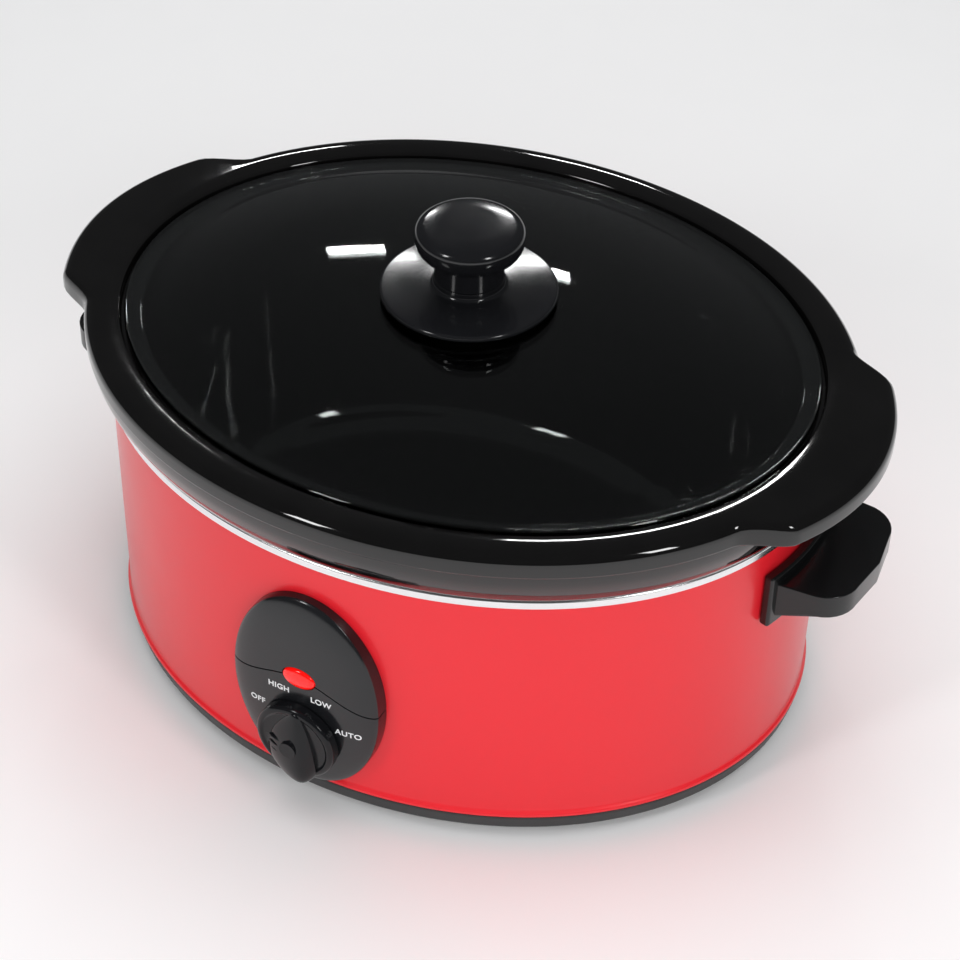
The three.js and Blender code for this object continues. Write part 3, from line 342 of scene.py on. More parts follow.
for screw in TRAY_SCREWS:
    centre = centre_mm(screw)
    boss = turned([
        (BOSS_BORE, BOSS_LOW), (BOSS_RADIUS, BOSS_LOW), (BOSS_RADIUS, BOSS_HIGH, 0.5),
        (BOSS_BORE, BOSS_HIGH),
    ], 40)
    bmesh.ops.translate(boss, vec=(centre.x, centre.y, 0), verts=boss.verts)
    boss_mesh = bpy.data.meshes.new("boss")
    boss.to_mesh(boss_mesh)
    boss.free()
    boss_shape.from_mesh(boss_mesh)
bosses = make_object("tray_screw_bosses", boss_shape)
finish_piece(base_tray, tray_plastic, "base", ["base_tray"])
finish_piece(bosses, tray_plastic, "base", ["base_tray"])

# ---- Rubber feet -----------------------------------------------------------------
# Four soft black feet pushed through holes in the tray, each a low puck with a rounded edge and
# a shallow suction dimple.
FOOT_STEM_RADIUS = 3
rubber = make_finish(
    "black_rubber", (0.022, 0.022, 0.022), 0.8, drift=0.25, drift_scale=60, grain=0.5,
    grain_depth=0.00008, grain_scale=2200,
)
for number in range(1, 5):
    node = f"rubber_foot_{number}"
    foot_low, foot_high = box_mm(node)
    centre = centre_mm(node)
    radius = (foot_high.x - foot_low.x) / 2
    foot = turned([
        (0, foot_low.z + 0.6), (radius * 0.45, foot_low.z + 0.5, 0.4),
        (radius * 0.6, foot_low.z, 0.3),
        (radius, foot_low.z, 0.9), (radius, -CLEARANCE, 0.3), (FOOT_STEM_RADIUS, -CLEARANCE),
        (FOOT_STEM_RADIUS, TRAY_FLOOR + 1), (FOOT_STEM_RADIUS - 1, foot_high.z), (0, foot_high.z),
    ], 64)
    bmesh.ops.translate(foot, vec=(centre.x, centre.y, 0), verts=foot.verts)
    finish_piece(make_object(f"foot_{number}", foot), rubber, "base", [node])

# ---- Screws ----------------------------------------------------------------------
# Zinc-plated pan-head screws with a cross recess: two hold the tray, one holds the lid's knob.
SCREW_HEAD_HEIGHT = 1.9
THREAD_PITCH = 0.8
THREAD_CORE_SHARE = 0.8
PLAIN_SHANK = 1.0
SCREW_POINT = 1.6
CROSS_DEPTH = 1.1
CROSS_REACH_SHARE = 0.55
CROSS_HALF_SHARE = 0.13
zinc = make_finish(
    "zinc_plate", (0.60, 0.61, 0.60), 0.34, drift=0.2, drift_scale=160, patchiness=0.1,
    patch_scale=220, grain=0.25, grain_depth=0.00005, grain_scale=1500, Metallic=1.0,
)


def pan_head_screw(node, body, head_radius, shank_radius):
    """An upright screw, head down, with a thread of rings and a cross recess."""
    low, high = box_mm(node)
    centre = centre_mm(node)
    seat = low.z + SCREW_HEAD_HEIGHT
    core_radius = shank_radius * THREAD_CORE_SHARE
    outline = [
        (0, low.z), (head_radius * 0.8, low.z, 0.5), (head_radius, seat - 0.6, 0.3),
        (head_radius, seat), (core_radius, seat),
    ]
    z = seat + PLAIN_SHANK
    while z < high.z - SCREW_POINT:
        outline.append((shank_radius, z))
        outline.append((core_radius, z + THREAD_PITCH / 2))
        z += THREAD_PITCH
    outline.append((shank_radius * 0.3, high.z))
    outline.append((0, high.z))
    screw = make_object(f"{node}_threaded", turned(outline, 36))
    reach = head_radius * CROSS_REACH_SHARE
    half = head_radius * CROSS_HALF_SHARE
    for across, along in ((reach, half), (half, reach)):
        slit = bmesh.new()
        add_block(slit, (-across, -along, low.z - 1), (across, along, low.z + CROSS_DEPTH))
        cut_out(screw, slit)
    screw.data.transform(Matrix.Translation((centre.x * MM, centre.y * MM, 0)))
    finish_piece(screw, zinc, body, [node])


pan_head_screw("base_screw_left", "base", 3.4, 1.6)
pan_head_screw("base_screw_right", "base", 3.4, 1.6)
pan_head_screw("knob_screw", "lid", 5.0, 2.4)

# ---- Casing ----------------------------------------------------------------------
# The oval wall of thin steel sheet, coated in glossy red, rolled out into a small bead at its
# foot, with holes for the switch, the lamp, the screws and the cord.
BEAD_HEIGHT = 2.4
SWITCH_HOLE_RADIUS = 5.0
LAMP_HOLE_RADIUS = 3.6
GLAND_HOLE_RADIUS = 6.9
SCREW_HOLE_RADIUS = 2
DRILL_REACH = 6
red_paint = make_finish(
    "red_enamel", (0.84, 0.017, 0.028), 0.3, drift=0.015, drift_scale=12, patchiness=0.02,
    patch_scale=30, grain=0.06, grain_depth=0.00005, grain_scale=420, Coat_Weight=0.2,
    Coat_Roughness=0.12, Specular_IOR_Level=0.35,
)
case_shape = stretch_to_oval(turned([
    (case_inner, case_low.z), (case_half_width + CASE_BEAD, case_low.z, 0.3),
    (case_half_width + CASE_BEAD, case_low.z + BEAD_HEIGHT / 2, 0.5),
    (case_half_width, case_low.z + BEAD_HEIGHT, 0.5),
    (case_half_width, case_high.z, 0.2), (case_inner, case_high.z, 0.2),
], 240))
casing = make_object("red_casing", case_shape)
panel_low, panel_high = box_mm("bezel_upper")
panel_bottom = box_mm("bezel_lower")[0].z
panel_z = (panel_high.z + panel_bottom) / 2
dial_low, dial_high = box_mm("dial_knob")
dial_z = (dial_low.z + dial_high.z) / 2
lens_low, lens_high = box_mm("indicator_lens")
lens_z = (lens_low.z + lens_high.z) / 2
gland_low, gland_high = box_mm("cord_gland")
gland_z = (gland_low.z + gland_high.z) / 2
case_cuts = bmesh.new()
outside = case_half_width + DRILL_REACH
inside = case_inner - DRILL_REACH
add_bar(case_cuts, SWITCH_HOLE_RADIUS, (0, -outside, dial_z), (0, -inside, dial_z))
add_bar(case_cuts, LAMP_HOLE_RADIUS, (0, -outside, lens_z), (0, -inside, lens_z))
add_bar(case_cuts, GLAND_HOLE_RADIUS, (0, inside, gland_z), (0, outside, gland_z))
for end in ("left", "right"):
    for place in ("front", "rear"):
        centre = centre_mm(f"handle_screw_{end}_{place}")
        reach = Vector((DRILL_REACH + 2, 0, 0))
        add_bar(case_cuts, SCREW_HOLE_RADIUS, centre - reach, centre + reach, 20)
cut_out(casing, case_cuts)
finish_piece(casing, red_paint, "base", ["outer_casing"])

# ---- Inner liner -----------------------------------------------------------------
# The bright pressed-steel well that holds the heat round the crock. Its rim folds over the
# casing's top edge and shows as a white line between the paint and the black crock.
liner_low, liner_high = box_mm("inner_liner")
steel = make_finish(
    "bright_steel", (0.86, 0.87, 0.88), 0.22, drift=0.05, drift_scale=40, patchiness=0.06,
    patch_scale=70, grain=0.2, grain_depth=0.00003, grain_scale=260, stretch=(1, 1, 14),
    Metallic=1.0,
)
crock_low, crock_high = box_mm("stoneware_crock")
FLANGE_HEIGHT = 24.2
CROCK_FOOT_RADIUS = 88.6
CROCK_NECK_RADIUS = 101.1
LINER_GAP = 2.2
LINER_SHEET = 0.8
flange_top = crock_high.z
flange_bottom = flange_top - FLANGE_HEIGHT


def crock_radius(z):
    """Half-width of the crock's outer wall at a height."""
    share = (z - crock_low.z) / (flange_bottom - crock_low.z)
    return CROCK_FOOT_RADIUS + (CROCK_NECK_RADIUS - CROCK_FOOT_RADIUS) * share


rim_top = liner_high.z
rim_outer = liner_high.y
well_floor = liner_low.z


def liner_radius(z):
    """Half-width of the well's inner side at a height."""
    return crock_radius(z) + LINER_GAP


liner = make_object("steel_liner", stretch_to_oval(turned([
    (0, well_floor), (liner_radius(well_floor) - 1.5, well_floor, 5),
    (liner_radius(rim_top - 4) + LINER_SHEET, rim_top - 4, 1.5),
    (liner_radius(rim_top) + 2.2, rim_top - 1.1, 0.8), (rim_outer - 1.3, rim_top - 1.1, 0.2),
    (rim_outer - 1.3, rim_top - 3.4), (rim_outer, rim_top - 3.4, 0.3), (rim_outer, rim_top, 0.9),
    (liner_radius(rim_top) + 1.6, rim_top, 1.2), (liner_radius(rim_top - 4), rim_top - 4, 1.5),
    (liner_radius(well_floor) - 1.5, well_floor + LINER_SHEET, 4), (0, well_floor + LINER_SHEET),
])))
finish_piece(liner, steel, "base", ["inner_liner"])

# ---- Stoneware crock -------------------------------------------------------------
# The lift-out cooking pot, slip-cast stoneware under a thick black glaze. Its wide flange has a
# ledge for the lid, a rolled lip above a tapered band, and a wing at each end to lift it by.
FLANGE_TAPER = 5.4
LIP_THICKNESS = 9
LIP_STEP = 0.5
LIP_ROUNDING = 4.2
WING_SPAN = 44
WING_SHOULDER = 11
WING_BOW = 2.2
RECESS_DEPTH = 4.6
BOWL_WALL = 6
BOWL_FLOOR = 5.4
FOOT_HOLLOW = 1.4
flange_radius = crock_high.y
wing_reach = crock_high.x - (flange_radius + oval_stretch)
lid_low, lid_high = box_mm("lid_glass")
recess_radius = lid_high.y + 1.6
lip_low = flange_top - LIP_THICKNESS
recess_floor = flange_top - RECESS_DEPTH
bowl_floor = crock_low.z + BOWL_FLOOR
band_low = flange_radius - FLANGE_TAPER
band_high = flange_radius - LIP_STEP
band_rise = [
    (band_low + (band_high - band_low) * math.sin(t * math.pi / 2),
     flange_bottom + 1 + (lip_low - flange_bottom - 1) * t)
    for t in (0, 0.2, 0.4, 0.6, 0.8, 1)
]
crock_shape = turned([
    (0, crock_low.z + FOOT_HOLLOW), (CROCK_FOOT_RADIUS - 13, crock_low.z + FOOT_HOLLOW, 0.6),
    (CROCK_FOOT_RADIUS - 11, crock_low.z, 0.7), (CROCK_FOOT_RADIUS, crock_low.z, 3.5),
    (CROCK_NECK_RADIUS, flange_bottom, 1.2), (band_low - 1, flange_bottom, 0.5),
    *band_rise,
    (flange_radius, lip_low + 0.4, 1.0), (flange_radius, flange_top, LIP_ROUNDING),
    (recess_radius + 4, flange_top, 3), (recess_radius, flange_top - 0.9, 1.1),
    (recess_radius, recess_floor, 0.6),
    (recess_radius - 9, recess_floor, 1.6),
    (crock_radius(flange_bottom) - BOWL_WALL, flange_bottom - 4, 4),
    (crock_radius(bowl_floor) - BOWL_WALL, bowl_floor, 14), (0, bowl_floor - 0.4),
], 384)


def wing_overhang(y):
    """How far the lip runs out past the oval, at a distance from the long axis."""
    side = abs(y)
    reach = wing_reach - WING_BOW * (side / WING_SPAN) ** 2
    fade = min(max((side - WING_SPAN) / WING_SHOULDER, 0), 1)
    return max(reach, 0) * (0.5 + 0.5 * math.cos(math.pi * fade))


stretch_to_oval(crock_shape)
for vert in crock_shape.verts:
    x, y, z = vert.co
    radius = math.hypot(x / (flange_radius + oval_stretch), y / flange_radius) * flange_radius
    on_lip = z > lip_low + 0.05 and radius > flange_radius - LIP_ROUNDING - 0.2
    if on_lip:
        vert.co.x += math.copysign(wing_overhang(y), x)
glaze = make_finish(
    "black_glaze", (0.0034, 0.0032, 0.0032), 0.05, drift=0.5, drift_scale=45, patchiness=0.03,
    patch_scale=35, grain=0.35, grain_depth=0.0002, grain_scale=55, Coat_Weight=0.3,
    Coat_Roughness=0.03,
)
crock = make_object("glazed_crock", crock_shape)
finish_piece(crock, glaze, "crock", ["stoneware_crock"], 50)

# ---- Glass lid -------------------------------------------------------------------
# A tempered soda-lime lid, gently domed, with a polished edge that rests on the flange's ledge
# and a hole in the middle for the knob's screw.
LID_THICKNESS = 3.4
LID_SEAT_WIDTH = 7
LID_HOLE_RADIUS = 3.8
LID_RINGS = 14
DOME_FULLNESS = 2.3
lid_radius = lid_high.y
lid_seat = lid_low.z
lid_shoulder = lid_radius - LID_SEAT_WIDTH
lid_dome = lid_high.z - lid_seat - LID_THICKNESS


def lid_top(radius):
    """Height of the lid's upper side at a distance from its middle."""
    share = min(radius / lid_shoulder, 1)
    return lid_seat + LID_THICKNESS + lid_dome * (1 - share ** DOME_FULLNESS)


shares = [1 - k / LID_RINGS for k in range(LID_RINGS)]
dome = [
    (lid_shoulder * share + LID_HOLE_RADIUS * (1 - share), lid_top(lid_shoulder * share))
    for share in shares
]
lid_shape = stretch_to_oval(turned([
    *[(radius, z - LID_THICKNESS) for radius, z in reversed(dome)],
    (lid_radius, lid_seat, 1.3), (lid_radius, lid_seat + LID_THICKNESS, 1.5),
    *dome,
    (LID_HOLE_RADIUS, lid_top(0)), (LID_HOLE_RADIUS, lid_top(0) - LID_THICKNESS),
], 256))
glass = make_finish(
    "clear_glass", (0.93, 0.97, 0.955), 0.02, drift=0.02, patchiness=0.012, patch_scale=22,
    grain=0.05, grain_depth=0.0001, grain_scale=30, Transmission_Weight=1.0, IOR=1.5,
)
lid = make_object("domed_glass", lid_shape)
finish_piece(lid, glass, "lid", ["lid_glass"], 60)

# ---- Lid knob --------------------------------------------------------------------
# Two phenolic mouldings: a thin wide skirt that keeps fingers off the hot glass, and the knob
# that screws down on it. The seam between them is seen round the neck.
KNOB_DISC = 12.2
NECK_RADIUS = 12.6
KNOB_BORE = 2.8
skirt_low, skirt_high = box_mm("knob_skirt")
top_low, top_high = box_mm("knob_top")
skirt_radius = skirt_high.y
knob_radius = top_high.y
gloss_plastic = make_finish(
    "gloss_black_plastic", (0.0075, 0.0078, 0.009), 0.14, drift=0.3, drift_scale=50,
    patchiness=0.04, patch_scale=60, grain=0.1, grain_depth=0.00004, grain_scale=700,
    Coat_Weight=0.2, Coat_Roughness=0.05,
)
z = skirt_low.z
skirt = make_object("knob_skirt_moulding", turned([
    (KNOB_BORE, z), (11, z), (13, z + 0.9), (skirt_radius, z + 0.9, 0.6),
    (skirt_radius - 0.3, z + 2.9, 0.8), (22, z + 3.6, 2), (NECK_RADIUS, z + 4.2, 1.6),
    (NECK_RADIUS, skirt_high.z, 0.3), (KNOB_BORE, skirt_high.z),
], 128))
finish_piece(skirt, gloss_plastic, "lid", ["knob_skirt"])
z = top_high.z - KNOB_DISC
knob = make_object("knob_top_moulding", turned([
    (0, z + 4), (KNOB_BORE, z + 4), (KNOB_BORE, top_low.z), (NECK_RADIUS, top_low.z, 0.3),
    (NECK_RADIUS - 0.3, z - 0.5, 1.5), (knob_radius - 2.6, z + 0.9, 2.4),
    (knob_radius, z + 5.6, 2.4), (knob_radius - 0.6, top_high.z - 0.8, 2.6),
    (knob_radius - 7, top_high.z, 3), (0, top_high.z),
], 128))
finish_piece(knob, gloss_plastic, "lid", ["knob_top"])

# ---- Knob washer -----------------------------------------------------------------
# A soft silicone washer under the lid, punched from sheet. It sits between the glass and the
# screw's head, so that the screw doesn't chip the hole's edge.
washer_low, washer_high = box_mm("knob_washer")
washer_radius = washer_high.y
washer = make_object("silicone_washer", turned([
    (KNOB_BORE, washer_low.z), (washer_radius, washer_low.z, 0.4),
    (washer_radius, washer_high.z, 0.4), (KNOB_BORE, washer_high.z),
], 64))
finish_piece(washer, rubber, "lid", ["knob_washer"])

# ---- Control panel ---------------------------------------------------------------
# A domed oval bezel moulded in two halves of satin black plastic that meet on a curved seam,
# shaped at the back to the casing's curve and held by two screws from inside.
PANEL_RIM_SHARE = 0.36
PANEL_SHELL = 2.2
PARTING_GAP = 0.6
PARTING_RISE = 9.8
PARTING_DROP = 7
PARTING_TILT = 0.06
SHOULDER_SQUARENESS = 3.6
SHOULDER_FULLNESS = 0.6
PANEL_EDGE_ROUNDING = 0.3
PLUG_LOW = -5
PLUG_HIGH = 130
SHAFT_HOLE_RADIUS = 3.4
DOME_SHARES = (
    0, 0.12, 0.25, 0.38, 0.5, 0.6, 0.68, 0.75, 0.81, 0.86, 0.9, 0.935, 0.96, 0.98, 0.992, 1,
)
panel_half_width = panel_high.x
panel_half_height = (panel_high.z - panel_bottom) / 2
panel_back = case_half_width + CLEARANCE
panel_rise = -panel_low.y - panel_back
satin_plastic = make_finish(
    "satin_black_plastic", (0.010, 0.0105, 0.012), 0.17, drift=0.2, drift_scale=40,
    patchiness=0.05, patch_scale=70, grain=0.22, grain_depth=0.00005, grain_scale=1300,
)


def panel_surface(x, z):
    """Y of the panel's outer skin at a place on it."""
    out = math.hypot(x / panel_half_width, (z - panel_z) / panel_half_height)
    swell = max(1 - out ** SHOULDER_SQUARENESS, 0) ** SHOULDER_FULLNESS
    return -(panel_back + panel_rise * (PANEL_RIM_SHARE + (1 - PANEL_RIM_SHARE) * swell))


def parting_height(x):
    """Height of the seam between the halves at a distance across the panel."""
    share = min(abs(x) / panel_half_width, 1)
    fall = PARTING_DROP * (0.5 - 0.5 * math.cos(math.pi * share))
    return panel_z + PARTING_RISE - fall - PARTING_TILT * x


def beyond_parting(side):
    """A block that takes in everything on one side of the seam: 1 is above, -1 is below."""
    block = bmesh.new()
    reach = panel_half_width + 6
    steps = 60
    outline = []
    for step in range(steps + 1):
        x = reach * (2 * step / steps - 1)
        outline.append((x, parting_height(x) - side * PARTING_GAP / 2))
    far = panel_z + side * (panel_half_height + 10)
    outline += [(reach, far), (-reach, far)]
    front = -(panel_back + panel_rise + 10)
    face = block.faces.new([block.verts.new((x, front, z)) for x, z in outline])
    pushed = bmesh.ops.extrude_face_region(block, geom=[face])["geom"]
    moved = [v for v in pushed if isinstance(v, bmesh.types.BMVert)]
    bmesh.ops.translate(block, vec=(0, panel_rise + 40, 0), verts=moved)
    bmesh.ops.triangulate(block, faces=[f for f in block.faces if len(f.verts) > 4])
    bmesh.ops.recalc_face_normals(block, faces=block.faces)
    return block


def panel_block(inset):
    """The panel's domed oval as a solid that runs back through the casing's wall."""
    shape = bmesh.new()
    points = [shape.verts.new((share, 0, 0)) for share in DOME_SHARES]
    for start, end in zip(points, points[1:]):
        shape.edges.new((start, end))
    bmesh.ops.spin(
        shape, geom=shape.verts[:] + shape.edges[:], axis=(0, 1, 0), cent=(0, 0, 0),
        angle=2 * math.pi, steps=160, use_merge=True,
    )
    bmesh.ops.remove_doubles(shape, verts=shape.verts, dist=1e-5)
    rim = [e for e in shape.edges if e.is_boundary]
    new = bmesh.ops.extrude_edge_only(shape, edges=rim)["geom"]
    back = [v for v in new if isinstance(v, bmesh.types.BMVert)]
    bmesh.ops.contextual_create(shape, geom=[e for e in shape.edges if e.is_boundary])
    for vert in shape.verts:
        x = vert.co.x * panel_half_width
        z = panel_z + vert.co.z * panel_half_height
        y = panel_surface(x, z) + inset
        x -= vert.co.x * inset
        z -= vert.co.z * inset
        vert.co = (x, y, z)
    for vert in back:
        vert.co.y = -case_inner + 20
    bmesh.ops.recalc_face_normals(shape, faces=shape.faces)
    return shape


def bezel_half(name, side, node):
    """One half of the bezel: side is 1 for the upper, -1 for the lower."""
    bezel = make_object(name, panel_block(0))
    cut_out(bezel, panel_block(PANEL_SHELL))
    wall_plug = turned([
        (0, PLUG_LOW), (panel_back, PLUG_LOW), (panel_back, PLUG_HIGH), (0, PLUG_HIGH),
    ], 240)
    cut_out(bezel, stretch_to_oval(wall_plug))
    cut_out(bezel, beyond_parting(-side))
    soften = bezel.modifiers.new("soften", "BEVEL")
    soften.width = PANEL_EDGE_ROUNDING * MM
    soften.segments = 3
    soften.limit_method = "ANGLE"
    soften.angle_limit = math.radians(60)
    apply_modifiers(bezel)
    lens_hole = bmesh.new()
    half_width = lens_high.x + CLEARANCE
    half_height = (lens_high.z - lens_low.z) / 2 + CLEARANCE
    add_bar(lens_hole, 1, (0, -20, 0), (0, 20, 0), 64)
    bmesh.ops.scale(lens_hole, vec=(half_width, 1, half_height), verts=lens_hole.verts)
    bmesh.ops.translate(lens_hole, vec=(0, -panel_back, lens_z), verts=lens_hole.verts)
    cut_out(bezel, lens_hole)
    if side < 0:
        shaft_hole = bmesh.new()
        add_bar(shaft_hole, SHAFT_HOLE_RADIUS, (0, -140, dial_z), (0, -100, dial_z))
        cut_out(bezel, shaft_hole)
    finish_piece(bezel, satin_plastic, "base", [node], 40)


bezel_half("panel_upper_moulding", 1, "bezel_upper")
bezel_half("panel_lower_moulding", -1, "bezel_lower")

# ---- Heat words ------------------------------------------------------------------
# The four heat settings, pad-printed in white ink round the dial on the panel's lower half.
LETTER_HEIGHT = 2.5
FONT_SIZE_SHARE = 1.38
STROKE_SWELL = 0.07
LETTER_SPACING = 1.08
INK_THICKNESS = 0.06
INK_SINK = 0.02
HEAT_WORDS = (("OFF", 153, 20.0), ("HIGH", 113, 21.6), ("LOW", 66, 21.4), ("AUTO", 24, 21.0))
ink = make_finish(
    "white_ink", (0.82, 0.83, 0.84), 0.45, drift=0.05, drift_scale=300, grain=0.2,
    grain_depth=0.00002, grain_scale=2500,
)
for word, angle, reach in HEAT_WORDS:
    text = bpy.data.curves.new(f"word_{word}", "FONT")
    text.body = word
    text.align_x = "CENTER"
    text.align_y = "CENTER"
    text.size = LETTER_HEIGHT * FONT_SIZE_SHARE
    text.offset = STROKE_SWELL
    text.space_character = LETTER_SPACING
    text.extrude = INK_THICKNESS
    stand_in = bpy.data.objects.new("text", text)
    bpy.context.scene.collection.objects.link(stand_in)
    bpy.context.view_layer.update()
    printed = bpy.data.meshes.new_from_object(
        stand_in.evaluated_get(bpy.context.evaluated_depsgraph_get())
    )
    bpy.data.objects.remove(stand_in)
    letters = bmesh.new()
    letters.from_mesh(printed)
    bmesh.ops.triangulate(letters, faces=letters.faces)
    bmesh.ops.subdivide_edges(letters, edges=letters.edges, cuts=1)
    bmesh.ops.rotate(
        letters, cent=(0, 0, 0), matrix=Matrix.Rotation(math.pi / 2, 3, "X"), verts=letters.verts,
    )
    turn = math.radians(angle)
    for vert in letters.verts:
        x = vert.co.x + reach * math.cos(turn)
        z = vert.co.z + dial_z + reach * math.sin(turn)
        vert.co = (x, panel_surface(x, z) + vert.co.y - INK_SINK, z)
    bmesh.ops.remove_doubles(letters, verts=letters.verts, dist=1e-4)
    label = make_object(f"heat_word_{word.lower()}", letters)
    label.data.materials.append(ink)
    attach(label, "base")

# ---- Indicator lens --------------------------------------------------------------
# A clear red polycarbonate oval that pushes through the seam and glows from the neon lamp.
red_lens = make_finish(
    "red_lens", (0.85, 0.002, 0.001), 0.12, drift=0.06, drift_scale=220, grain=0.1,
    grain_depth=0.00003, grain_scale=600, Coat_Weight=0.3, Emission_Strength=0.35,
    Emission_Color=(1.0, 0.004, 0.0, 1),
)
LENS_OUTLINE = (
    (0, 0), (1, 0), (1, 2.5), (0.97, 3.0), (0.88, 3.42), (0.74, 3.72), (0.5, 3.96),
    (0.25, 4.07), (0, 4.1),
)
lens_shape = turned(LENS_OUTLINE, 96)
bmesh.ops.scale(
    lens_shape, vec=(lens_high.x, (lens_high.z - lens_low.z) / 2, 1), verts=lens_shape.verts,
)
bmesh.ops.rotate(
    lens_shape, cent=(0, 0, 0), matrix=Matrix.Rotation(math.pi / 2, 3, "X"),
    verts=lens_shape.verts,
)
bmesh.ops.translate(lens_shape, vec=(0, lens_high.y, lens_z), verts=lens_shape.verts)
lens = make_object("lens_oval", lens_shape)
finish_piece(lens, red_lens, "base", ["indicator_lens"])

# ---- Dial ------------------------------------------------------------------------
# The glossy heat dial: a round skirt with a wedge-shaped finger grip that narrows to the
# pointer, one long sloping flank with ribs, pushed on the switch's D-shaped shaft.
DIAL_BASE = 4.6
DIAL_BORE_RADIUS = 3.3
DIAL_BORE_DEPTH = 9
# Sections of the grip from the pointer down: (up, left foot, left crest, right crest, right
# foot, height).
GRIP_SECTIONS = (
    (15.2, -0.4, 0.4, 1.6, 2.4, 4.9), (13.0, -2.4, 0.4, 2.0, 3.4, 5.6),
    (9.0, -6.2, 0.3, 3.2, 5.2, 6.6), (4.0, -9.6, 0.3, 4.6, 7.2, 7.9),
    (-2.0, -11.8, 0.7, 6.0, 8.8, 9.0), (-8.0, -12.0, 1.1, 7.0, 9.8, 9.6),
    (-12.4, -10.2, 1.4, 6.9, 9.2, 9.5), (-14.8, -7.4, 1.6, 5.9, 7.6, 8.6),
    (-15.6, -4.0, 1.8, 4.4, 5.6, 6.8),
)
FOOT_DEPTH = 1.5
RIB_COUNT = 5
RIB_START = 0.5
RIB_PITCH = 2.9
RIB_HALF_SIZES = (3.0, 0.8, 0.9, 1)
RIB_PLACE_SHARE = 0.32
dial_seat = dial_high.y
dial_radius = dial_high.x
dial_plastic = make_finish(
    "dial_plastic", (0.0065, 0.0068, 0.008), 0.12, drift=0.3, drift_scale=60, patchiness=0.04,
    patch_scale=90, grain=0.12, grain_depth=0.00004, grain_scale=900, Specular_IOR_Level=0.3,
)
dial_shape = turned([
    (DIAL_BORE_RADIUS, 0), (dial_radius, 0, 0.3), (dial_radius, DIAL_BASE - 0.9, 0.5),
    (dial_radius - 1.2, DIAL_BASE, 0.7), (dial_radius - 2.2, DIAL_BASE, 0.3),
    (dial_radius - 2.8, DIAL_BASE - 0.5, 0.4), (0, DIAL_BASE - 0.5), (0, DIAL_BORE_DEPTH),
    (DIAL_BORE_RADIUS, DIAL_BORE_DEPTH),
], 128)
dial = make_object("dial_moulding", dial_shape)
grip = bmesh.new()
section = []
for up, left, crest_left, crest_right, right, height in GRIP_SECTIONS:
    corners = [
        grip.verts.new(p) for p in (
            (left, up, FOOT_DEPTH), (left, up, DIAL_BASE), (crest_left, up, height),
            (crest_right, up, height), (right, up, DIAL_BASE), (right, up, FOOT_DEPTH),
        )
    ]
    loop = [grip.edges.new((a, b)) for a, b in zip(corners, corners[1:] + corners[:1])]
    if section:
        bmesh.ops.bridge_loops(grip, edges=section + loop)
    section = loop
bmesh.ops.holes_fill(grip, edges=grip.edges, sides=6)
bmesh.ops.recalc_face_normals(grip, faces=grip.faces)
grip_piece = make_object("grip", grip)
bulge = grip_piece.modifiers.new("bulge", "SUBSURF")
bulge.levels = 2
bulge.render_levels = 2
apply_modifiers(grip_piece)
grip_shape = bmesh.new()
grip_shape.from_mesh(grip_piece.data)
bpy.data.objects.remove(grip_piece)
bmesh.ops.scale(grip_shape, vec=(1 / MM, 1 / MM, 1 / MM), verts=grip_shape.verts)
cut_out(dial, grip_shape, "UNION")
ribs = bmesh.new()
for step in range(RIB_COUNT):
    up = RIB_START - step * RIB_PITCH
    slope = Vector((9.4, 0, 2.4 + 0.3 * step))
    foot = Vector((-10.0 + 0.16 * step * step, up, DIAL_BASE + 0.1))
    turn = Matrix.Rotation(-math.atan2(slope.z, slope.x), 4, "Y")
    middle = Matrix.Translation(foot + slope * RIB_PLACE_SHARE)
    bmesh.ops.create_uvsphere(
        ribs, u_segments=20, v_segments=12, radius=1,
        matrix=middle @ turn @ Matrix.Diagonal(RIB_HALF_SIZES),
    )
rib_piece = make_object("dial_ribs", ribs)
dial_place = Matrix.Translation((0, dial_seat * MM, dial_z * MM))
dial_stand = dial_place @ Matrix.Rotation(math.pi / 2, 4, "X")
for piece in (dial, rib_piece):
    piece.data.transform(dial_stand)
    finish_piece(piece, dial_plastic, "dial", ["dial_knob"], 40)

# ---- Side handles ----------------------------------------------------------------
# A stiff black handle at each end: a shelf plate with rounded corners, thicker at its root,
# moulded in one with a flange that follows the casing and takes two screws from inside.
HANDLE_FLANGE = 4
FLANGE_EDGE_ROUNDING = 1.1
PLATE_BELOW_CASE_TOP = 17.3
PLATE_SIDE_INSET = 2.5
PLATE_CORNER = 13
PLATE_EDGE_ROUNDING = 2.4
TIP_BOW = 2.0
TIP_THICKNESS = 9.6
ROOT_THICKNESS = 15.5
ROOT_BLEND = 9
ROOT_STEPS = 8
CORNER_STEPS = 8
SHARP_EDGE = 0.8
handle_low, handle_high = box_mm("side_handle_right")
flange_low_z = handle_low.z
flange_high_z = handle_high.z
handle_span = handle_high.y
handle_tip = handle_high.x
plate_top = case_high.z - PLATE_BELOW_CASE_TOP
handle_plastic = make_finish(
    "satin_handle_plastic", (0.006, 0.0062, 0.0066), 0.2, drift=0.2, drift_scale=35,
    patchiness=0.06, patch_scale=50, grain=0.25, grain_depth=0.00006, grain_scale=1100,
)


def oval_x(half_width, y):
    """How far out an oval of a half-width reaches, at a distance from its long axis."""
    return (half_width + oval_stretch) * math.sqrt(max(1 - (y / half_width) ** 2, 0))


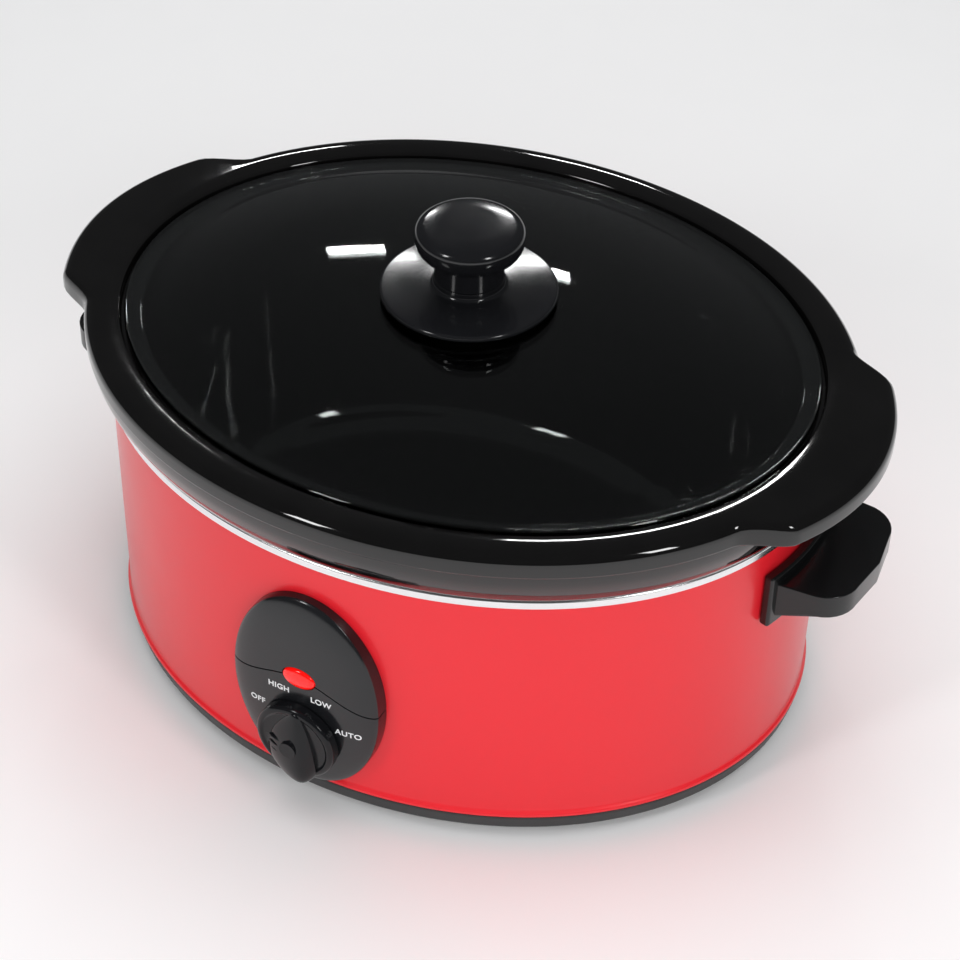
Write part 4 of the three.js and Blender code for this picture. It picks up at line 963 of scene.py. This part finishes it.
def side_handle(name, side, node):
    """One handle: side is 1 for the right end, -1 for the left."""
    seat = case_half_width + CLEARANCE
    flange = bmesh.new()
    sweep = math.asin(handle_span / (seat + HANDLE_FLANGE / 2))
    corners = [
        flange.verts.new((r * math.cos(sweep), -r * math.sin(sweep), z))
        for r, z in (
            (seat, flange_low_z), (seat + HANDLE_FLANGE, flange_low_z),
            (seat + HANDLE_FLANGE, flange_high_z), (seat, flange_high_z),
        )
    ]
    flange.faces.new(corners)
    bmesh.ops.spin(
        flange, geom=flange.verts[:] + flange.edges[:] + flange.faces[:], axis=(0, 0, 1),
        cent=(0, 0, 0), angle=2 * sweep, steps=40,
    )
    stretch_to_oval(flange)
    bmesh.ops.recalc_face_normals(flange, faces=flange.faces)
    edges = [e for e in flange.edges if e.calc_face_angle(0) > SHARP_EDGE]
    bmesh.ops.bevel(
        flange, geom=edges, offset=FLANGE_EDGE_ROUNDING, offset_type="OFFSET", affect="EDGES",
        segments=4, profile=0.5, material=-1, clamp_overlap=True,
    )
    handle = make_object(name, flange)

    plate = bmesh.new()
    half = handle_span - PLATE_SIDE_INSET
    outline = []
    for step in range(ROOT_STEPS + 1):
        y = half - 2 * half * step / ROOT_STEPS
        outline.append((oval_x(seat + HANDLE_FLANGE * 0.5, y), y))
    arc = []
    for step in range(CORNER_STEPS + 1):
        turn = math.pi / 2 * step / CORNER_STEPS
        x = handle_tip - TIP_BOW - PLATE_CORNER + PLATE_CORNER * math.sin(turn)
        y = half - 1 - PLATE_CORNER + PLATE_CORNER * math.cos(turn)
        arc.append((x, y))
    outline += [(x, -y) for x, y in arc]
    outline.append((handle_tip, 0))
    outline += reversed(arc)
    face = plate.faces.new([plate.verts.new((x, y, plate_top)) for x, y in outline])
    down = bmesh.ops.extrude_face_region(plate, geom=[face])["geom"]
    lowered = [v for v in down if isinstance(v, bmesh.types.BMVert)]
    root_x = oval_x(seat, 0)
    for vert in lowered:
        share = min(max((vert.co.x - root_x - 3) / ROOT_BLEND, 0), 1)
        swell = 1 - share * share * (3 - 2 * share)
        vert.co.z -= TIP_THICKNESS + (ROOT_THICKNESS - TIP_THICKNESS) * swell
    bmesh.ops.recalc_face_normals(plate, faces=plate.faces)
    rounded = [
        e for e in plate.edges
        if e.calc_face_angle(0) > SHARP_EDGE and max(v.co.x for v in e.verts) > root_x + 1
    ]
    bmesh.ops.bevel(
        plate, geom=rounded, offset=PLATE_EDGE_ROUNDING, offset_type="OFFSET", affect="EDGES",
        segments=5, profile=0.5, material=-1, clamp_overlap=True,
    )
    cut_out(handle, plate, "UNION")
    if side < 0:
        mirrored = bmesh.new()
        mirrored.from_mesh(handle.data)
        bmesh.ops.scale(mirrored, vec=(-1, 1, 1), verts=mirrored.verts)
        bmesh.ops.reverse_faces(mirrored, faces=mirrored.faces)
        mirrored.to_mesh(handle.data)
        mirrored.free()
    finish_piece(handle, handle_plastic, "base", [node], 40)


side_handle("handle_right_moulding", 1, "side_handle_right")
side_handle("handle_left_moulding", -1, "side_handle_left")

# ---- Cord gland ------------------------------------------------------------------
# A ribbed rubber sleeve snapped into the casing at the rear, where the mains cord comes out.
GLAND_BORE = 3.6
GLAND_NECK = 6.6
GLAND_LIP = 2.4
GLAND_RIBS = 3
GLAND_RIB_PITCH = 2.2
outer = case_half_width + CLEARANCE
inner = gland_low.y
sleeve = [
    (GLAND_BORE, inner), (GLAND_NECK + 2, inner, 0.4), (GLAND_NECK + 2, inner + GLAND_LIP),
    (GLAND_NECK, inner + GLAND_LIP), (GLAND_NECK, outer), (GLAND_NECK + 3, outer, 0.3),
    (GLAND_NECK + 3, outer + 1.8, 0.8),
]
for rib in range(GLAND_RIBS):
    start = outer + GLAND_LIP + rib * GLAND_RIB_PITCH
    radius = GLAND_NECK - 0.3 - rib * 0.5
    sleeve += [(radius - 1.0, start, 0.2), (radius - 1.0, start + 0.8, 0.2)]
    sleeve += [(radius, start + 1.0, 0.3), (radius - 0.2, start + 2.0, 0.3)]
sleeve += [(GLAND_BORE, gland_high.y)]
gland_shape = turned(sleeve, 64)
bmesh.ops.rotate(
    gland_shape, cent=(0, 0, 0), matrix=Matrix.Rotation(-math.pi / 2, 3, "X"),
    verts=gland_shape.verts,
)
bmesh.ops.translate(gland_shape, vec=(0, 0, gland_z), verts=gland_shape.verts)
gland = make_object("gland_sleeve", gland_shape)
finish_piece(gland, rubber, "base", ["cord_gland"])

# ---- Parts inside the casing -----------------------------------------------------
# The heating band with its springs, the fuse, the wiring, the switch, the lamp and the screws
# keep their CAD shapes: plain pressed, drawn or moulded parts that only need their finishes.
foil = make_finish(
    "mica_and_foil", (0.50, 0.49, 0.46), 0.42, drift=0.3, drift_scale=90, patchiness=0.12,
    grain=0.4, grain_depth=0.0001, grain_scale=500, Metallic=0.7,
)
ivory = make_finish(
    "ivory_nylon", (0.78, 0.75, 0.66), 0.42, drift=0.06, grain=0.2, grain_scale=1200,
)
red_sleeve = make_finish("red_silicone_sleeve", (0.42, 0.03, 0.025), 0.5, grain_scale=1500)
blue_sleeve = make_finish("blue_silicone_sleeve", (0.02, 0.07, 0.3), 0.5, grain_scale=1500)
lamp_glass = make_finish(
    "neon_lamp_glass", (0.95, 0.75, 0.6), 0.05, patchiness=0.02, grain=0.05,
    Transmission_Weight=0.9, IOR=1.5,
)
INSIDE_FINISHES = (
    (foil, ("heating_band",)),
    (zinc, ("band_spring_lower", "band_spring_upper", "thermal_fuse", "fuse_bracket",
            "cross_bracket", "bezel_screw_upper", "bezel_screw_lower", "switch_nut",
            "switch_shaft", "handle_screw_left_front", "handle_screw_left_rear",
            "handle_screw_right_front", "handle_screw_right_rear")),
    (ivory, ("terminal_block", "rotary_switch")),
    (red_sleeve, ("lead_live", "lead_fuse_in", "lead_fuse_out")),
    (blue_sleeve, ("lead_neutral",)),
    (lamp_glass, ("indicator_lamp",)),
)
for finish, nodes in INSIDE_FINISHES:
    for node in nodes:
        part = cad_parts[node]
        part.data.materials.clear()
        part.data.materials.append(finish)

# ---- Floor -----------------------------------------------------------------------
# A pale seamless sheet of card under the feet, far wider than the camera sees. It isn't part of
# the cooker.
FLOOR_REACH = 4000
floor_z = box_mm("rubber_foot_1")[0].z
floor_shape = bmesh.new()
bmesh.ops.create_grid(floor_shape, x_segments=1, y_segments=1, size=FLOOR_REACH)
bmesh.ops.translate(floor_shape, vec=(0, 0, floor_z), verts=floor_shape.verts)
floor = make_object("floor", floor_shape)
floor_finish = make_finish(
    "pale_floor", (0.93, 0.93, 0.935), 0.6, drift=0.004, grain=0.02, grain_scale=300,
)
floor.data.materials.append(floor_finish)

bpy.context.view_layer.update()
